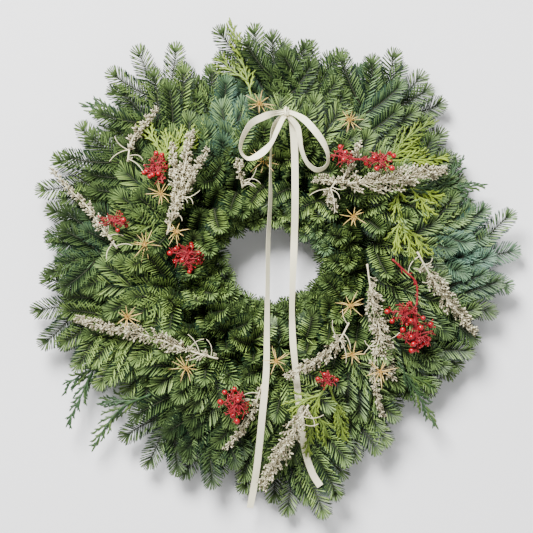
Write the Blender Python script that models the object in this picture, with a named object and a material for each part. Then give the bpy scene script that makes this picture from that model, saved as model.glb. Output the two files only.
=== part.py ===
"""Fresh evergreen wreath, lying on its back.

A two-rail wire frame carries eighteen hand-tied fir bunches under one length of binding wire. Cedar
branches, grey-white plumes, red berry sprigs, straw-gold seed heads and an ivory ribbon are tucked
into the fir. Units are metres, +Z is the wreath's front and +Y its top. The origin is the centre of
the wreath's outline, on the surface that it lies on.
"""

import math
import random

import bmesh
import bpy
import numpy as np
from mathutils import Matrix, Vector
from mathutils.bvhtree import BVHTree

MM = 0.001
SEED = 7
GAP = 0.3 * MM  # between pieces that rest on each other

# Wire frame: two rails over cross bars
RING_CENTRE = Vector((-7.0, 4.0, 0.0)) * MM
RAIL_RADII = (110.0 * MM, 150.0 * MM)
WIRE_R = 1.5 * MM
RAIL_Z = 3.9 * MM
RAIL_STEPS = 24
RAIL_SIDES = 4
BAR_COUNT = 6
BAR_PAST = 3 * WIRE_R  # how far the bars pass the rails

# Bunch stems lie slanted across both rails
BUNCH_COUNT = 18
BUNCH_STEP = 360.0 / BUNCH_COUNT
FIRST_BUNCH = -4.0
STEM_R = 2.8 * MM
STEM_Z = RAIL_Z + WIRE_R + GAP + STEM_R
STEM_INNER = (104.0 * MM, 8.0)  # radius, degrees past the bunch's angle
STEM_OUTER = (156.0 * MM, -6.0)

# Binding wire
BINDING_R = 0.8 * MM
BINDING_SIDES = 4
BINDING_OVER = STEM_Z + STEM_R + GAP + BINDING_R
BINDING_UNDER = RAIL_Z - WIRE_R - GAP - BINDING_R
BINDING_PAST = 5.6 * MM  # how far outside the rails it passes them
BINDING_BESIDE = RAIL_Z + 2.1 * MM
BINDING_IN = 11.0 * MM  # how far inside the rails it bends over a stem
BINDING_OUT = 4.0 * MM  # how far outside the rails it bends under them

# Fir twigs and needles
TWIG_R = 2.6 * MM
TWIG_TIP_R = 1.9 * MM
TWIG_SIDES = 3
TWIG_STEPS = 2
TWIGS_OUTSIDE = 5  # outer and upper twigs of a bunch together
NEEDLE_LENGTH = 20.0 * MM
NEEDLE_R = 0.8 * MM
NEEDLE_STEP = 42.0 * MM
BARE_SHARE = 0.3  # of each twig, at its root
NEEDLE_LEAN = math.radians(50.0)
NEEDLE_SHARES = (1.0, 0.55)  # of the full length, tried in turn where there is little room
LAST_NEEDLE_SHARE = 0.65  # of the full length, at the tip of a twig
NEEDLE_CLEAR = 0.45 * MM
GOLDEN = math.radians(137.5)
LOWEST_NEEDLE = 1.2 * MM
TIP_REACH = 11.0 * MM  # how far the needles pass the end of their twig
HOLE_CENTRE = Vector((-10.0, 7.0, 0.0)) * MM
HOLE_HALF = (87.0 * MM, 71.0 * MM)  # where the inner twigs end
UPPER_TWIGS = ((-9, 234, 0.70), (-3, 100, 0.34), (6, 212, 0.62))  # degrees ahead, reach, place on the stem
INNER_TWIGS = ((-5, 0.19), (5, 0.06))  # degrees ahead, place on the stem
INNER_TWIG_RISE = 40.0 * MM

# Outline of the fir: the twig tips of each bunch, in millimetres from the centre
OUTER_TIPS = (
    ((340, 26), (303, -22), (305, -62)),
    ((297, 44), (268, 75), (262, 128)),
    ((243, 160), (235, 194)),
    ((206, 275), (175, 286), (133, 289)),
    ((76, 302), (46, 318)),
    ((-6, 330), (-32, 342)),
    ((-92, 283), (-136, 285)),
    ((-197, 310), (-221, 253)),
    ((-265, 190), (-314, 157)),
    ((-323, 85), (-321, 38), (-309, 10)),
    ((-342, -60), (-305, -106)),
    ((-270, -130), (-214, -176)),
    ((-183, -200), (-183, -278)),
    ((-132, -292), (-94, -281)),
    ((-48, -296), (-4, -328)),
    ((14, -345), (35, -314), (62, -281)),
    ((108, -271), (144, -230), (171, -200)),
    ((222, -168), (249, -150), (276, -95)),
)

# Cedar branches: each frond is a list of points in millimetres
CEDAR = {
    "cedar_top_left": (
        ((-164, 192), (-207, 205), (-241, 219), (-276, 232)),
        ((-200, 203), (-231, 222), (-259, 236)),
        ((-170, 193), (-213, 190), (-262, 194)),
    ),
    "cedar_left_fan": (
        ((-157, 131), (-160, 159), (-176, 186), (-188, 206)),
        ((-157, 140), (-153, 169), (-153, 190)),
        ((-156, 135), (-140, 165), (-133, 198)),
        ((-156, 135), (-119, 180), (-101, 204)),
    ),
    "cedar_top": (
        ((-35, 236), (-45, 278), (-55, 313), (-66, 349)),
        ((-40, 262), (-62, 277), (-77, 292)),
    ),
    "cedar_right_branch": (
        ((151, 150), (163, 128), (169, 107), (167, 89), (178, 51), (195, 4)),
        ((151, 150), (175, 177), (220, 208)),
        ((151, 150), (179, 166), (206, 179)),
        ((151, 150), (200, 152), (242, 155)),
        ((168, 107), (197, 112), (242, 113), (293, 118)),
        ((225, 112), (247, 132), (253, 155)),
        ((214, 112), (249, 102), (269, 101)),
        ((189, 112), (221, 100), (252, 88)),
        ((186, 112), (203, 93), (213, 75)),
        ((175, 62), (193, 43), (208, 18)),
        ((172, 68), (166, 46), (168, 23)),
    ),
    "cedar_lower_left_outer": (
        ((-231, -117), (-259, -145), (-276, -181), (-295, -220)),
        ((-250, -136), (-276, -150), (-299, -167)),
    ),
    "cedar_lower_left_inner": (
        ((-178, -177), (-217, -195), (-241, -223), (-259, -255)),
        ((-199, -187), (-223, -186), (-250, -188)),
    ),
    "cedar_bottom": (
        ((72, -160), (56, -184), (47, -226), (41, -262)),
        ((62, -176), (36, -184), (21, -202)),
        ((72, -160), (86, -205), (94, -240), (94, -271)),
        ((52, -200), (67, -222), (66, -246)),
    ),
    "cedar_lower_right": (
        ((169, -131), (189, -163), (206, -191), (225, -223)),
        ((179, -146), (200, -156), (227, -168)),
    ),
}
RIB_HALF = 1.8 * MM
LEAF_STEP = 36.0 * MM
LEAF_REACH = 13.0 * MM
LEAF_END = 14.0 * MM
LEAF_THICK = 1.2 * MM
FROND_ROOM = 3.0 * MM  # kept free round a frond's rib and branchlets
LEAF_ROOM = 2.2 * MM
CEDAR_LIFT = {
    "cedar_top_left": 4, "cedar_left_fan": 13, "cedar_top": 14, "cedar_right_branch": 8,
    "cedar_lower_left_outer": 9, "cedar_lower_left_inner": 4, "cedar_bottom": 12,
    "cedar_lower_right": 10,
}

# Plumes: strands as points in millimetres, with the strand's half width
FLORET_STEP = 12.5 * MM  # larger than life
FLORET_HOLLOW = 0.42  # of the strand's half width, between the raised florets
STRAND_LEAST = 1.6 * MM
PLUMES = {
    "plume_left_upright": (
        (11, ((-152, 48), (-141, 85), (-130, 130), (-120, 188))),
        (7, ((-140, 88), (-142, 130), (-145, 170))),
        (7, ((-145, 72), (-120, 124), (-97, 163))),
    ),
    "plume_upper_left": ((7, ((-208, 150), (-203, 178), (-187, 200), (-168, 222))),),
    "plume_by_the_bow": ((7, ((-48, 113), (-51, 131), (-53, 150))),),
    "plume_right": (
        (17, ((74, 120), (109, 118), (151, 122), (193, 131), (232, 136))),
        (8, ((88, 119), (102, 146), (113, 172))),
        (7, ((90, 119), (69, 122), (53, 122))),
        (7, ((80, 119), (71, 102), (80, 83))),
    ),
    "plume_lower_left": ((12, ((-83, -125), (-122, -114), (-178, -94), (-234, -83), (-281, -71))),),
    "plume_lower_centre": ((7, ((-21, -162), (-34, -198), (-52, -229), (-71, -251))),),
    "plume_right_inner": (
        (15, ((125, 5), (130, -30), (140, -75), (150, -114), (157, -147))),
        (6, ((143, -92), (135, -130), (138, -168), (147, -205))),
    ),
    "plume_right_outer": ((13, ((195, 22), (212, -8), (236, -41), (258, -66), (276, -88))),),
    "plume_lower_right": ((11, ((99, -76), (81, -107), (53, -128), (17, -148))),),
    "plume_bottom": ((15, ((43, -190), (28, -215), (11, -247), (-7, -279), (-20, -303))),),
    "plume_far_left": ((6, ((-223, 29), (-248, 61), (-264, 85), (-290, 110), (-315, 138))),),
}
PLUME_LIFT = {
    "plume_left_upright": 26, "plume_upper_left": 22, "plume_by_the_bow": 12, "plume_right": 28,
    "plume_lower_left": 14, "plume_lower_centre": 14, "plume_right_inner": 14,
    "plume_right_outer": 22, "plume_lower_right": 19, "plume_bottom": 30, "plume_far_left": 16,
}

# Berry sprigs: a stem's points, then clusters of (x, y, half width, half height, branches)
SPRIGS = {
    "berry_sprig_upper_left": (((-158, 118), (-163, 134)), ((-166, 139, 17, 21, 4),)),
    "berry_sprig_far_left": (((-212, 62), (-225, 65)), ((-228, 66, 20, 9, 4),)),
    "berry_sprig_left": (((-118, -2), (-124, 10)), ((-125, 17, 24, 18, 4),)),
    "berry_sprig_top_right": (
        ((112, 150), (124, 150), (136, 148)), ((87, 154, 16, 11, 3), (142, 149, 20, 13, 4)),
    ),
    "berry_sprig_right": (
        ((160, 12), (178, -5), (192, -19), (194, -44), (188, -60)),
        ((176, -62, 20, 16, 4), (194, -93, 26, 24, 6)),
    ),
    "berry_sprig_bottom_right": (((70, -142), (69, -150)), ((69, -154, 12, 9, 3),)),
    "berry_sprig_bottom_left": (((-48, -172), (-54, -182)), ((-58, -188, 21, 21, 5),)),
}
SPRIG_LIFT = {
    "berry_sprig_upper_left": 26, "berry_sprig_far_left": 30, "berry_sprig_left": 20,
    "berry_sprig_top_right": 46, "berry_sprig_right": 26, "berry_sprig_bottom_right": 30,
    "berry_sprig_bottom_left": 28,
}
SPRIG_STEM_R = 1.4 * MM
BERRY_R = 4.0 * MM
PICK_R = 1.1 * MM
PICK_TRIES = 120  # twigs that a pick is tried on, the nearest ones first
PICK_DROP = 3.0 * MM  # a pick goes at least this far down
LEAST_SLOPE = 0.1  # picks that meet their twig at a slant end further before it

# Seed heads: x, y, lift, and ray length in millimetres
SEED_HEADS = (
    (-24, 229, 22, 22), (-18, 149, 8, 22), (101, 206, 20, 22), (106, 72, 20, 22),
    (-160, 103, 40, 21), (-183, 33, 16, 24), (-139, 50, 40, 20), (-207, -67, 38, 22),
    (-126, -138, 20, 22), (-1, -128, 22, 20), (101, -51, 34, 22), (142, -142, 44, 24),
    (104, -119, 30, 18),
)
RAY_R = 1.3 * MM
RAY_SHARES = (1.0, 0.8, 0.6, 0.4)  # of the full length, tried in turn where there is little room
RAY_LOWEST = -0.3  # rays point no further back than this
HEAD_R = 3.4 * MM

# Ribbon: centre line points in millimetres (x, y, height), with its lean in degrees
RIBBON_HALF = 4.8 * MM
RIBBON_THICK = 0.8 * MM
LANES = (-0.75, -0.25, 0.25, 0.75)  # rods across the ribbon's half width that keep its room
LANE_R = 1.6 * MM
KNOT = (12.5, 215, 103)
KNOT_SIZE = (10.0 * MM, 12.0 * MM, 7.0 * MM)
KNOT_EDGE = 2.0 * MM
KNOT_ROOM = 7.0 * MM
LEFT_LOOP = (
    (10.5, 216, 105, 0), (-3, 214, 108, 40), (-18, 209, 112, 12), (-36, 199, 113, 35),
    (-47.5, 180, 110, 55), (-50.5, 164, 105, 66), (-45, 154, 101, 64), (-36, 151.5, 99, 48),
    (-20.5, 160, 99, 12), (-8, 173, 101, 52), (-1, 188, 103, 48), (5, 201, 104, 30),
    (10, 211, 103.4, 0),
)
RIGHT_LOOP = (
    (14.5, 216, 105, 0), (25, 212, 108, 25), (38, 204, 112, 12), (51, 190, 114, 8),
    (62, 175, 112, 28), (69, 160, 108, 55), (70, 147, 104, 65), (64.5, 139, 101, 62),
    (55, 136, 100, 50), (46, 141, 101, 54), (39, 150, 102, 60), (33.5, 165, 102, 56),
    (31, 180, 103, 46), (27.5, 196, 103, 35), (15, 211, 103.4, 0),
)
LEFT_TAIL = (
    (10.5, 211, 100.8, 0), (-1, 202, 96, 50), (-7, 187, 91, 68), (-8.5, 160, 88, 74),
    (-9, 130, 84, 70), (-9, 96, 78, 57), (-12, 40, 60, 45), (-13, -30, 60, 35),
    (-14, -86, 74, 10), (-15, -142, 86, 0), (-20, -198, 84, 0), (-27, -268, 60, 10),
    (-33, -310, 46, 15), (-38, -336, 42, 15),
)
RIGHT_TAIL = (
    (15, 211, 100.8, 0), (21, 199, 94, 10), (24, 166, 88, 0), (25, 96, 76, 0), (24, 40, 58, 0),
    (22, -16, 56, 25), (21, -58, 62, 40), (22, -100, 70, 20), (26, -142, 70, 30),
    (30, -184, 66, 10), (34, -219, 58, 10), (40, -258, 42, 10), (50, -288, 36, 5),
    (61, -306, 34, 0),
)

COLOURS = {
    "steel_wire": ((0.16, 0.19, 0.16), 0.45, 1.0),
    "binding": ((0.10, 0.19, 0.11), 0.5, 1.0),
    "fir": ((0.07, 0.17, 0.08), 0.55, 0.0),
    "cedar": ((0.20, 0.36, 0.08), 0.5, 0.0),
    "plume": ((0.62, 0.59, 0.52), 0.9, 0.0),
    "berry": ((0.52, 0.02, 0.03), 0.3, 0.0),
    "straw": ((0.62, 0.44, 0.18), 0.6, 0.0),
    "satin": ((0.86, 0.84, 0.77), 0.35, 0.0),
}


# Where everything is

def crown(x, y):
    """Height of the foliage's front at a place, in metres."""
    radius = math.hypot(x - RING_CENTRE.x, y - RING_CENTRE.y) / MM
    if radius < 140.0:
        return (70.0 - 0.006 * (140.0 - radius) ** 2) * MM
    return max(70.0 - 0.0022 * (radius - 140.0) ** 2, 30.0) * MM


def on_ring(radius, degrees, z):
    angle = math.radians(degrees)
    return RING_CENTRE + Vector((radius * math.cos(angle), radius * math.sin(angle), z))


def on_crown(point, lift):
    x, y = point[0] * MM, point[1] * MM
    return Vector((x, y, crown(x, y) + lift * MM))


def bezier(start, control, end, steps):
    points = []
    for i in range(steps + 1):
        t = i / steps
        points.append(start * (1 - t) ** 2 + control * 2 * t * (1 - t) + end * t ** 2)
    return points


def sideways(direction):
    """Two directions square to a path, the second one as near to up as it can be."""
    up = Vector((0, 0, 1)) if abs(direction.z) < 0.95 else Vector((1, 0, 0))
    side = direction.cross(up).normalized()
    return side, side.cross(direction).normalized()


class Room:
    """Round-ended rods that stand for what is already placed, by node."""

    def __init__(self, size=12000):
        self.starts = np.zeros((size, 3))
        self.ends = np.zeros((size, 3))
        self.radii = np.zeros(size)
        self.nodes = np.zeros(size, int)
        self.count = 0
        self.names = {}

    def number(self, node):
        return self.names.setdefault(node, len(self.names))

    def take(self, node, start, end, radius):
        i = self.count
        self.starts[i], self.ends[i], self.radii[i] = start, end, radius
        self.nodes[i] = self.number(node)
        self.count += 1

    def take_path(self, node, points, radius):
        for start, end in zip(points, points[1:]):
            self.take(node, start, end, radius)

    def gaps(self, node, start, end, radius):
        """Gap from a rod to each rod of the other nodes, with the nearest points on both."""
        use = self.nodes[:self.count] != self.number(node)
        p, q = self.starts[:self.count][use], self.ends[:self.count][use]
        a, b = np.array(start), np.array(end)
        u, v, w = b - a, q - p, a - p
        uu, vv = max(float(u @ u), 1e-12), np.maximum((v * v).sum(1), 1e-12)
        uv, uw, vw = v @ u, w @ u, (v * w).sum(1)
        base = np.maximum(uu * vv - uv * uv, 1e-14)
        s = np.clip((uv * vw - vv * uw) / base, 0, 1)
        t = np.clip((uv * s + vw) / vv, 0, 1)
        s = np.clip((uv * t - uw) / uu, 0, 1)
        on_rod, on_other = a + s[:, None] * u, p + t[:, None] * v
        gap = np.linalg.norm(on_rod - on_other, axis=1) - radius - self.radii[:self.count][use]
        return gap, on_other, self.radii[:self.count][use]

    def gap(self, node, start, end, radius):
        gaps = self.gaps(node, start, end, radius)[0]
        return float(gaps.min()) if len(gaps) else 1.0

    def seat(self, node, top, surfaces):
        """Where a pick from a decoration ends, just clear of the nearest fir twig that it can reach,
        or None."""
        gaps, places, radii = self.gaps(node, top, top, 0.0)
        for i in np.argsort(gaps)[:PICK_TRIES]:
            place = Vector(places[i])
            if place.z > top.z - PICK_DROP:
                continue
            along = (place - top).normalized()
            hits = [surface.ray_cast(top, along) for surface in surfaces]
            hits = [(distance, normal) for _, normal, _, distance in hits if normal]
            reach, normal = min(hits, key=lambda hit: hit[0], default=(0.0, along))
            if abs(reach - (place - top).length) > radii[i] + GAP:
                continue
            slope = max(abs(normal.dot(along)), LEAST_SLOPE)
            end = top + along * (reach - GAP / slope)
            if self.gap(node, top, end - along * (radii[i] + PICK_R + GAP), PICK_R) > GAP / 3:
                return end
        return None


ROOM = Room()


# Solids

def new_object(name, bm, collection=None):
    bmesh.ops.recalc_face_normals(bm, faces=bm.faces)
    mesh = bpy.data.meshes.new(name)
    bm.to_mesh(mesh)
    bm.free()
    obj = bpy.data.objects.new(name, mesh)
    (collection or bpy.context.scene.collection).objects.link(obj)
    return obj


def outline(point, side, up, radius, sides):
    """A round outline whose first corner is the lowest one."""
    angles = [math.tau * i / sides - math.pi / 2 for i in range(sides)]
    return [point + radius * (math.cos(a) * side + math.sin(a) * up) for a in angles]


def sweep(sections):
    """A closed solid through a list of outlines that have the same number of points."""
    bm = bmesh.new()
    rings = [[bm.verts.new(place) for place in places] for places in sections]
    for one, two in zip(rings, rings[1:]):
        for i in range(len(one)):
            bm.faces.new((one[i - 1], one[i], two[i], two[i - 1]))
    bm.faces.new(rings[0])
    bm.faces.new(rings[-1])
    bm.normal_update()
    return bm


def directions(points):
    out = []
    for i in range(len(points)):
        before, after = points[max(i - 1, 0)], points[min(i + 1, len(points) - 1)]
        out.append((after - before).normalized())
    return out


def frames(points):
    """Two directions square to the path at each point, carried along it without a twist."""
    out = []
    side = None
    for way in directions(points):
        if side is None:
            side = sideways(way)[0]
        side = (side - way * side.dot(way)).normalized()
        out.append((side, side.cross(way).normalized()))
    return out


def tube(points, start_r, end_r, sides):
    last = len(points) - 1
    sections = []
    for i, (point, (side, up)) in enumerate(zip(points, frames(points))):
        radius = start_r + (end_r - start_r) * i / last
        sections.append(outline(point, side, up, radius, sides))
    return sweep(sections)


def bent_wire(points, radius, sides):
    """A wire with straight lengths that meet in mitred bends."""
    ways = [(b - a).normalized() for a, b in zip(points, points[1:])]
    side, up = sideways(ways[0])
    sections = [outline(points[0], side, up, radius, sides)]
    for point, before, after in zip(points[1:], ways, ways[1:] + ways[-1:]):
        cut = (before + after).normalized()
        sections.append([place + before * ((point - place).dot(cut) / before.dot(cut))
                         for place in sections[-1]])
    return sweep(sections)


def spike(start, end, radius):
    """A slim pointed solid, such as a needle."""
    bm = bmesh.new()
    length = (end - start).length
    bmesh.ops.create_cone(bm, cap_ends=True, segments=3, radius1=radius, radius2=0.0, depth=length)
    direction = (end - start).normalized()
    side, up = sideways(direction)
    turn = Matrix((side, up, direction)).transposed().to_4x4()
    turn.translation = (start + end) / 2
    bmesh.ops.transform(bm, matrix=turn, verts=bm.verts)
    return bm


def fuse(name, solids, material):
    """One Boolean union of a node's solids."""
    repeats = bpy.data.collections.new(name + "_repeats")
    bpy.context.scene.collection.children.link(repeats)
    for i, bm in enumerate(solids[1:]):
        new_object(f"{name}_repeat_{i}", bm, repeats)
    obj = new_object(name, solids[0])
    union = obj.modifiers.new("union", "BOOLEAN")
    union.operation = "UNION"
    union.operand_type = "COLLECTION"
    union.collection = repeats
    union.solver = "MANIFOLD"
    evaluated = obj.evaluated_get(bpy.context.evaluated_depsgraph_get())
    mesh = bpy.data.meshes.new_from_object(evaluated)
    obj.modifiers.clear()
    obj.data = mesh
    for repeat in list(repeats.objects):
        bpy.data.objects.remove(repeat)
    bpy.data.collections.remove(repeats)
    obj.data.materials.clear()
    obj.data.materials.append(material)
    return obj


def material(name):
    colour, roughness, metallic = COLOURS[name]
    made = bpy.data.materials.new(name)
    made.use_nodes = True
    shader = made.node_tree.nodes["Principled BSDF"]
    shader.inputs["Base Color"].default_value = (*colour, 1.0)
    shader.inputs["Roughness"].default_value = roughness
    shader.inputs["Metallic"].default_value = metallic
    return made


# Frame and binding

def wire_frame(steel):
    corner_r = WIRE_R / math.cos(math.pi / RAIL_SIDES)
    level = Matrix.Rotation(math.pi / 2, 4, "X") @ Matrix.Rotation(math.pi / RAIL_SIDES, 4, "Z")
    solids = []
    for radius in RAIL_RADII:
        bm = bmesh.new()
        place = Matrix.Translation(RING_CENTRE + Vector((radius, 0, RAIL_Z)))
        bmesh.ops.create_circle(bm, segments=RAIL_SIDES, radius=corner_r, matrix=place @ level)
        bmesh.ops.spin(bm, geom=bm.edges[:], cent=RING_CENTRE, axis=(0, 0, 1), angle=math.tau,
                       steps=RAIL_STEPS, use_merge=True)
        solids.append(bm)
        ROOM.take_path("wire_frame", [on_ring(radius, a, RAIL_Z) for a in range(0, 361, 10)], corner_r)
    for i in range(BAR_COUNT):
        degrees = FIRST_BUNCH + 1 + i * 360 / BAR_COUNT
        start = on_ring(RAIL_RADII[0] - BAR_PAST, degrees, WIRE_R)
        end = on_ring(RAIL_RADII[1] + BAR_PAST, degrees, WIRE_R)
        side, up = sideways((end - start).normalized())
        flat_side, flat_up = (side + up).normalized(), (up - side).normalized()
        sections = [outline(point, flat_side, flat_up, corner_r, RAIL_SIDES) for point in (start, end)]
        solids.append(sweep(sections))
        ROOM.take("wire_frame", start, end, corner_r)
    return fuse("wire_frame", solids, steel)


def binding_wire(steel):
    """One turn for each bunch: under the rails, up inside, over the stem and down outside."""
    inner, outer = RAIL_RADII
    turn = (
        (inner - BINDING_PAST, BINDING_BESIDE, -4.0), (inner + BINDING_IN, BINDING_OVER, -0.8),
        (outer - BINDING_IN, BINDING_OVER, 2.8), (outer + BINDING_PAST, BINDING_BESIDE, 6.0),
        (outer + BINDING_OUT, BINDING_UNDER, 8.0), (inner - BINDING_OUT, BINDING_UNDER, 14.0),
    )
    points = []
    for i in range(BUNCH_COUNT):
        for radius, z, ahead in turn:
            points.append(on_ring(radius, FIRST_BUNCH + i * BUNCH_STEP + ahead, z))
    ROOM.take_path("binding_wire", points, BINDING_R)
    obj = new_object("binding_wire", bent_wire(points, BINDING_R, BINDING_SIDES))
    obj.data.materials.append(steel)
    return obj


# Fir

def bunch_twigs(index):
    """The stem and twig paths of one bunch."""
    draw = random.Random(SEED * 100 + index)
    angle = FIRST_BUNCH + index * BUNCH_STEP
    inner = on_ring(STEM_INNER[0], angle + STEM_INNER[1], STEM_Z)
    outer = on_ring(STEM_OUTER[0], angle + STEM_OUTER[1], STEM_Z)
    stem = [inner, outer]
    odd = index % 2
    twigs = []
    for j, (x, y) in enumerate(OUTER_TIPS[index]):
        start = inner.lerp(outer, 0.97 - 0.09 * j)
        z = (22 + 8 * ((j + index) % 3) + 3 * odd) * MM
        tip = Vector((x * MM, y * MM, z))
        end = tip - (tip - start).normalized() * TIP_REACH
        middle = start.lerp(end, 0.5)
        middle.z = 0.8 * z + 4 * MM
        across = Vector((end.y - start.y, start.x - end.x, 0)).normalized()
        twigs.append(bezier(start, middle + across * draw.uniform(-9, 9) * MM, end, TWIG_STEPS))
    for ahead, reach, base in UPPER_TWIGS[:TWIGS_OUTSIDE - len(OUTER_TIPS[index])]:
        start = inner.lerp(outer, base)
        radius = (reach + draw.uniform(-10, 10)) * MM
        tip = on_ring(radius, angle + ahead + draw.uniform(-2, 2), 0)
        tip.z = crown(tip.x, tip.y) - (8 + 6 * odd) * MM
        side = 1 if reach > 140 else -1
        control = on_ring(130 * MM + side * 16 * MM, angle + ahead * 0.4, crown(0, 0.14) + 8 * MM)
        twigs.append(bezier(start, control, tip, TWIG_STEPS))
    for ahead, base in INNER_TWIGS:
        start = inner.lerp(outer, base)
        phi = math.radians(angle + ahead)
        tip = HOLE_CENTRE + Vector((HOLE_HALF[0] * math.cos(phi), HOLE_HALF[1] * math.sin(phi), 0))
        tip.z = (27 + 6 * odd + draw.uniform(-2, 2)) * MM
        control = start.lerp(tip, 0.6)
        control.z = INNER_TWIG_RISE
        twigs.append(bezier(start, control, tip, TWIG_STEPS))
    return stem, twigs


def along_path(points, share):
    """The place and direction at a share of a path's length."""
    lengths = [(b - a).length for a, b in zip(points, points[1:])]
    at = share * sum(lengths)
    k = 0
    while k < len(lengths) - 1 and at > lengths[k]:
        at -= lengths[k]
        k += 1
    point = points[k].lerp(points[k + 1], min(at / lengths[k], 1.0))
    return point, (points[k + 1] - points[k]).normalized()


def fir_needles(name, points, seed):
    """Needles on all sides of a twig, out to its tip, that stay clear of the other nodes."""
    draw = random.Random(seed)
    first = draw.uniform(0, math.tau)
    total = sum((b - a).length for a, b in zip(points, points[1:]))
    count = max(round(total * (1 - BARE_SHARE) / NEEDLE_STEP), 2)
    needles = []
    for i in range(count + 1):
        last = i == count
        share = 1.0 - 2 * MM / total if last else BARE_SHARE + (1 - BARE_SHARE) * i / count
        start, way = along_path(points, share)
        side, up = sideways(way)
        roll = first + i * GOLDEN
        lean = 0.1 if last else NEEDLE_LEAN + draw.uniform(-0.12, 0.12)
        out = math.cos(roll) * side + math.sin(roll) * up
        along = way * math.cos(lean) + out * math.sin(lean)
        full, less = NEEDLE_SHARES
        for length in (NEEDLE_LENGTH * (LAST_NEEDLE_SHARE if last else full), NEEDLE_LENGTH * less):
            tip = start + along * length
            root = start + along * 1.5 * TWIG_R
            if tip.z > LOWEST_NEEDLE and ROOM.gap(name, root, tip, NEEDLE_R) > NEEDLE_CLEAR:
                needles.append(spike(start, tip, NEEDLE_R))
                ROOM.take(name, start, tip, NEEDLE_R)
                break
    return needles


# Decorations

def frond(name, path):
    """A flat frond whose edges are cut to the rib: pointed branchlets left and right, one at the end."""
    bm = bmesh.new()
    total = sum((b - a).length for a, b in zip(path, path[1:]))
    count = max(round(total / LEAF_STEP), 2)
    rows = []
    for i in range(count + 1):
        point, way = along_path(path, i / count)
        side, _ = sideways(way)
        half = side * RIB_HALF * (1.0 - 0.5 * i / count)
        ahead = way * LEAF_STEP * 0.9
        across = side * LEAF_REACH * (1.0 - 0.45 * i / count)
        rows.append((bm.verts.new(point + half), bm.verts.new(point - half),
                     point + ahead + across, point + ahead - across))
    for one, two in zip(rows, rows[1:]):
        bm.faces.new((one[0], one[1], two[1], two[0]))
        bm.faces.new((one[0], two[0], bm.verts.new(one[2])))
        bm.faces.new((two[1], one[1], bm.verts.new(one[3])))
        for tip in one[2:]:
            middle = (one[0].co + one[1].co + two[0].co + two[1].co) / 4
            ROOM.take(name, middle, tip, LEAF_ROOM)
    end = path[-1] + (path[-1] - path[-2]).normalized() * LEAF_END
    bm.faces.new((rows[-1][0], rows[-1][1], bm.verts.new(end)))
    ROOM.take_path(name, path + [end], FROND_ROOM)
    bmesh.ops.recalc_face_normals(bm, faces=bm.faces)
    bmesh.ops.solidify(bm, geom=bm.faces[:], thickness=LEAF_THICK)
    return bm


def cedar_fronds(name):
    """Fronds that grow from one another, the first one from the branch's stem."""
    solids = []
    for points in CEDAR[name]:
        path = [on_crown(p, CEDAR_LIFT[name]) for p in points]
        path[-1] = path[-1] - (path[-1] - path[-2]).normalized() * LEAF_END
        solids.append(frond(name, path))
    return solids


def plume_strands(name):
    """Strands whose florets are raised from the surface, in turn round and along it."""
    draw = random.Random(SEED + len(name))
    solids = []
    for half, points in PLUMES[name]:
        path = [on_crown(p, PLUME_LIFT[name]) for p in points]
        total = sum((b - a).length for a, b in zip(path, path[1:]))
        sides = 6 if half > 9 else 4
        rings = round(total / FLORET_STEP)
        sections = []
        for j in range(rings + 1):
            t = j / rings
            point, way = along_path(path, t)
            full = half * MM * math.sqrt(1.0 - 0.75 * t) * min(0.35 + 3 * t, 1.0)
            places = []
            side, up = sideways(way)
            for i, place in enumerate(outline(point, side, up, 1.0, sides)):
                raised = (i + j) % 2 == 0 and 0 < j < rings
                radius = full * draw.uniform(0.85, 1.1) if raised else full * FLORET_HOLLOW
                places.append(point + (place - point) * max(radius, STRAND_LEAST))
            sections.append(places)
        solids.append(sweep(sections))
        ROOM.take_path(name, path, 0.8 * half * MM)
    return solids


def berry_sprig(name):
    """The stem, and in each cluster a spine whose short branches end in berries."""
    stem, clusters = SPRIGS[name]
    lift = SPRIG_LIFT[name]
    path = [on_crown(p, lift) for p in stem]
    solids = [tube(path, SPRIG_STEM_R * 1.2, SPRIG_STEM_R, 4)]
    ROOM.take_path(name, path, SPRIG_STEM_R)
    for x, y, wide, tall, branches in clusters:
        heart = on_crown((x, y), lift + 1)
        root = min(path, key=lambda p: (p - heart).length)
        ahead = (heart - root).normalized()
        spine_end = heart + ahead * 0.6 * min(wide, tall) * MM
        solids.append(tube([root, spine_end], SPRIG_STEM_R, SPRIG_STEM_R, 3))
        ROOM.take(name, root, spine_end, SPRIG_STEM_R)
        turn = math.atan2(ahead.y, ahead.x)
        for j in range(branches):
            share = (j + 0.5) / branches
            start = root.lerp(spine_end, share)
            roll = turn + (1, -1)[j % 2] * math.pi * (1 - share) * 0.9
            across = Vector((wide * math.cos(roll), tall * math.sin(roll), 0)) * MM
            tip = heart + across * (0.95, 0.7, 0.85)[j % 3] + Vector((0, 0, (0, 6, 2)[j % 3])) * MM
            way = (tip - start).normalized()
            length = max((tip - start).length, 3 * BERRY_R)
            middle = length - BERRY_R
            spots = ((0.0, SPRIG_STEM_R * 0.8), (middle - BERRY_R, SPRIG_STEM_R * 0.8),
                     (middle, BERRY_R), (length, BERRY_R * 0.35))
            side, up = sideways(way)
            solids.append(sweep([outline(start + way * at, side, up, r, 4) for at, r in spots]))
            ROOM.take(name, start, start + way * middle, BERRY_R)
    return solids


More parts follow.
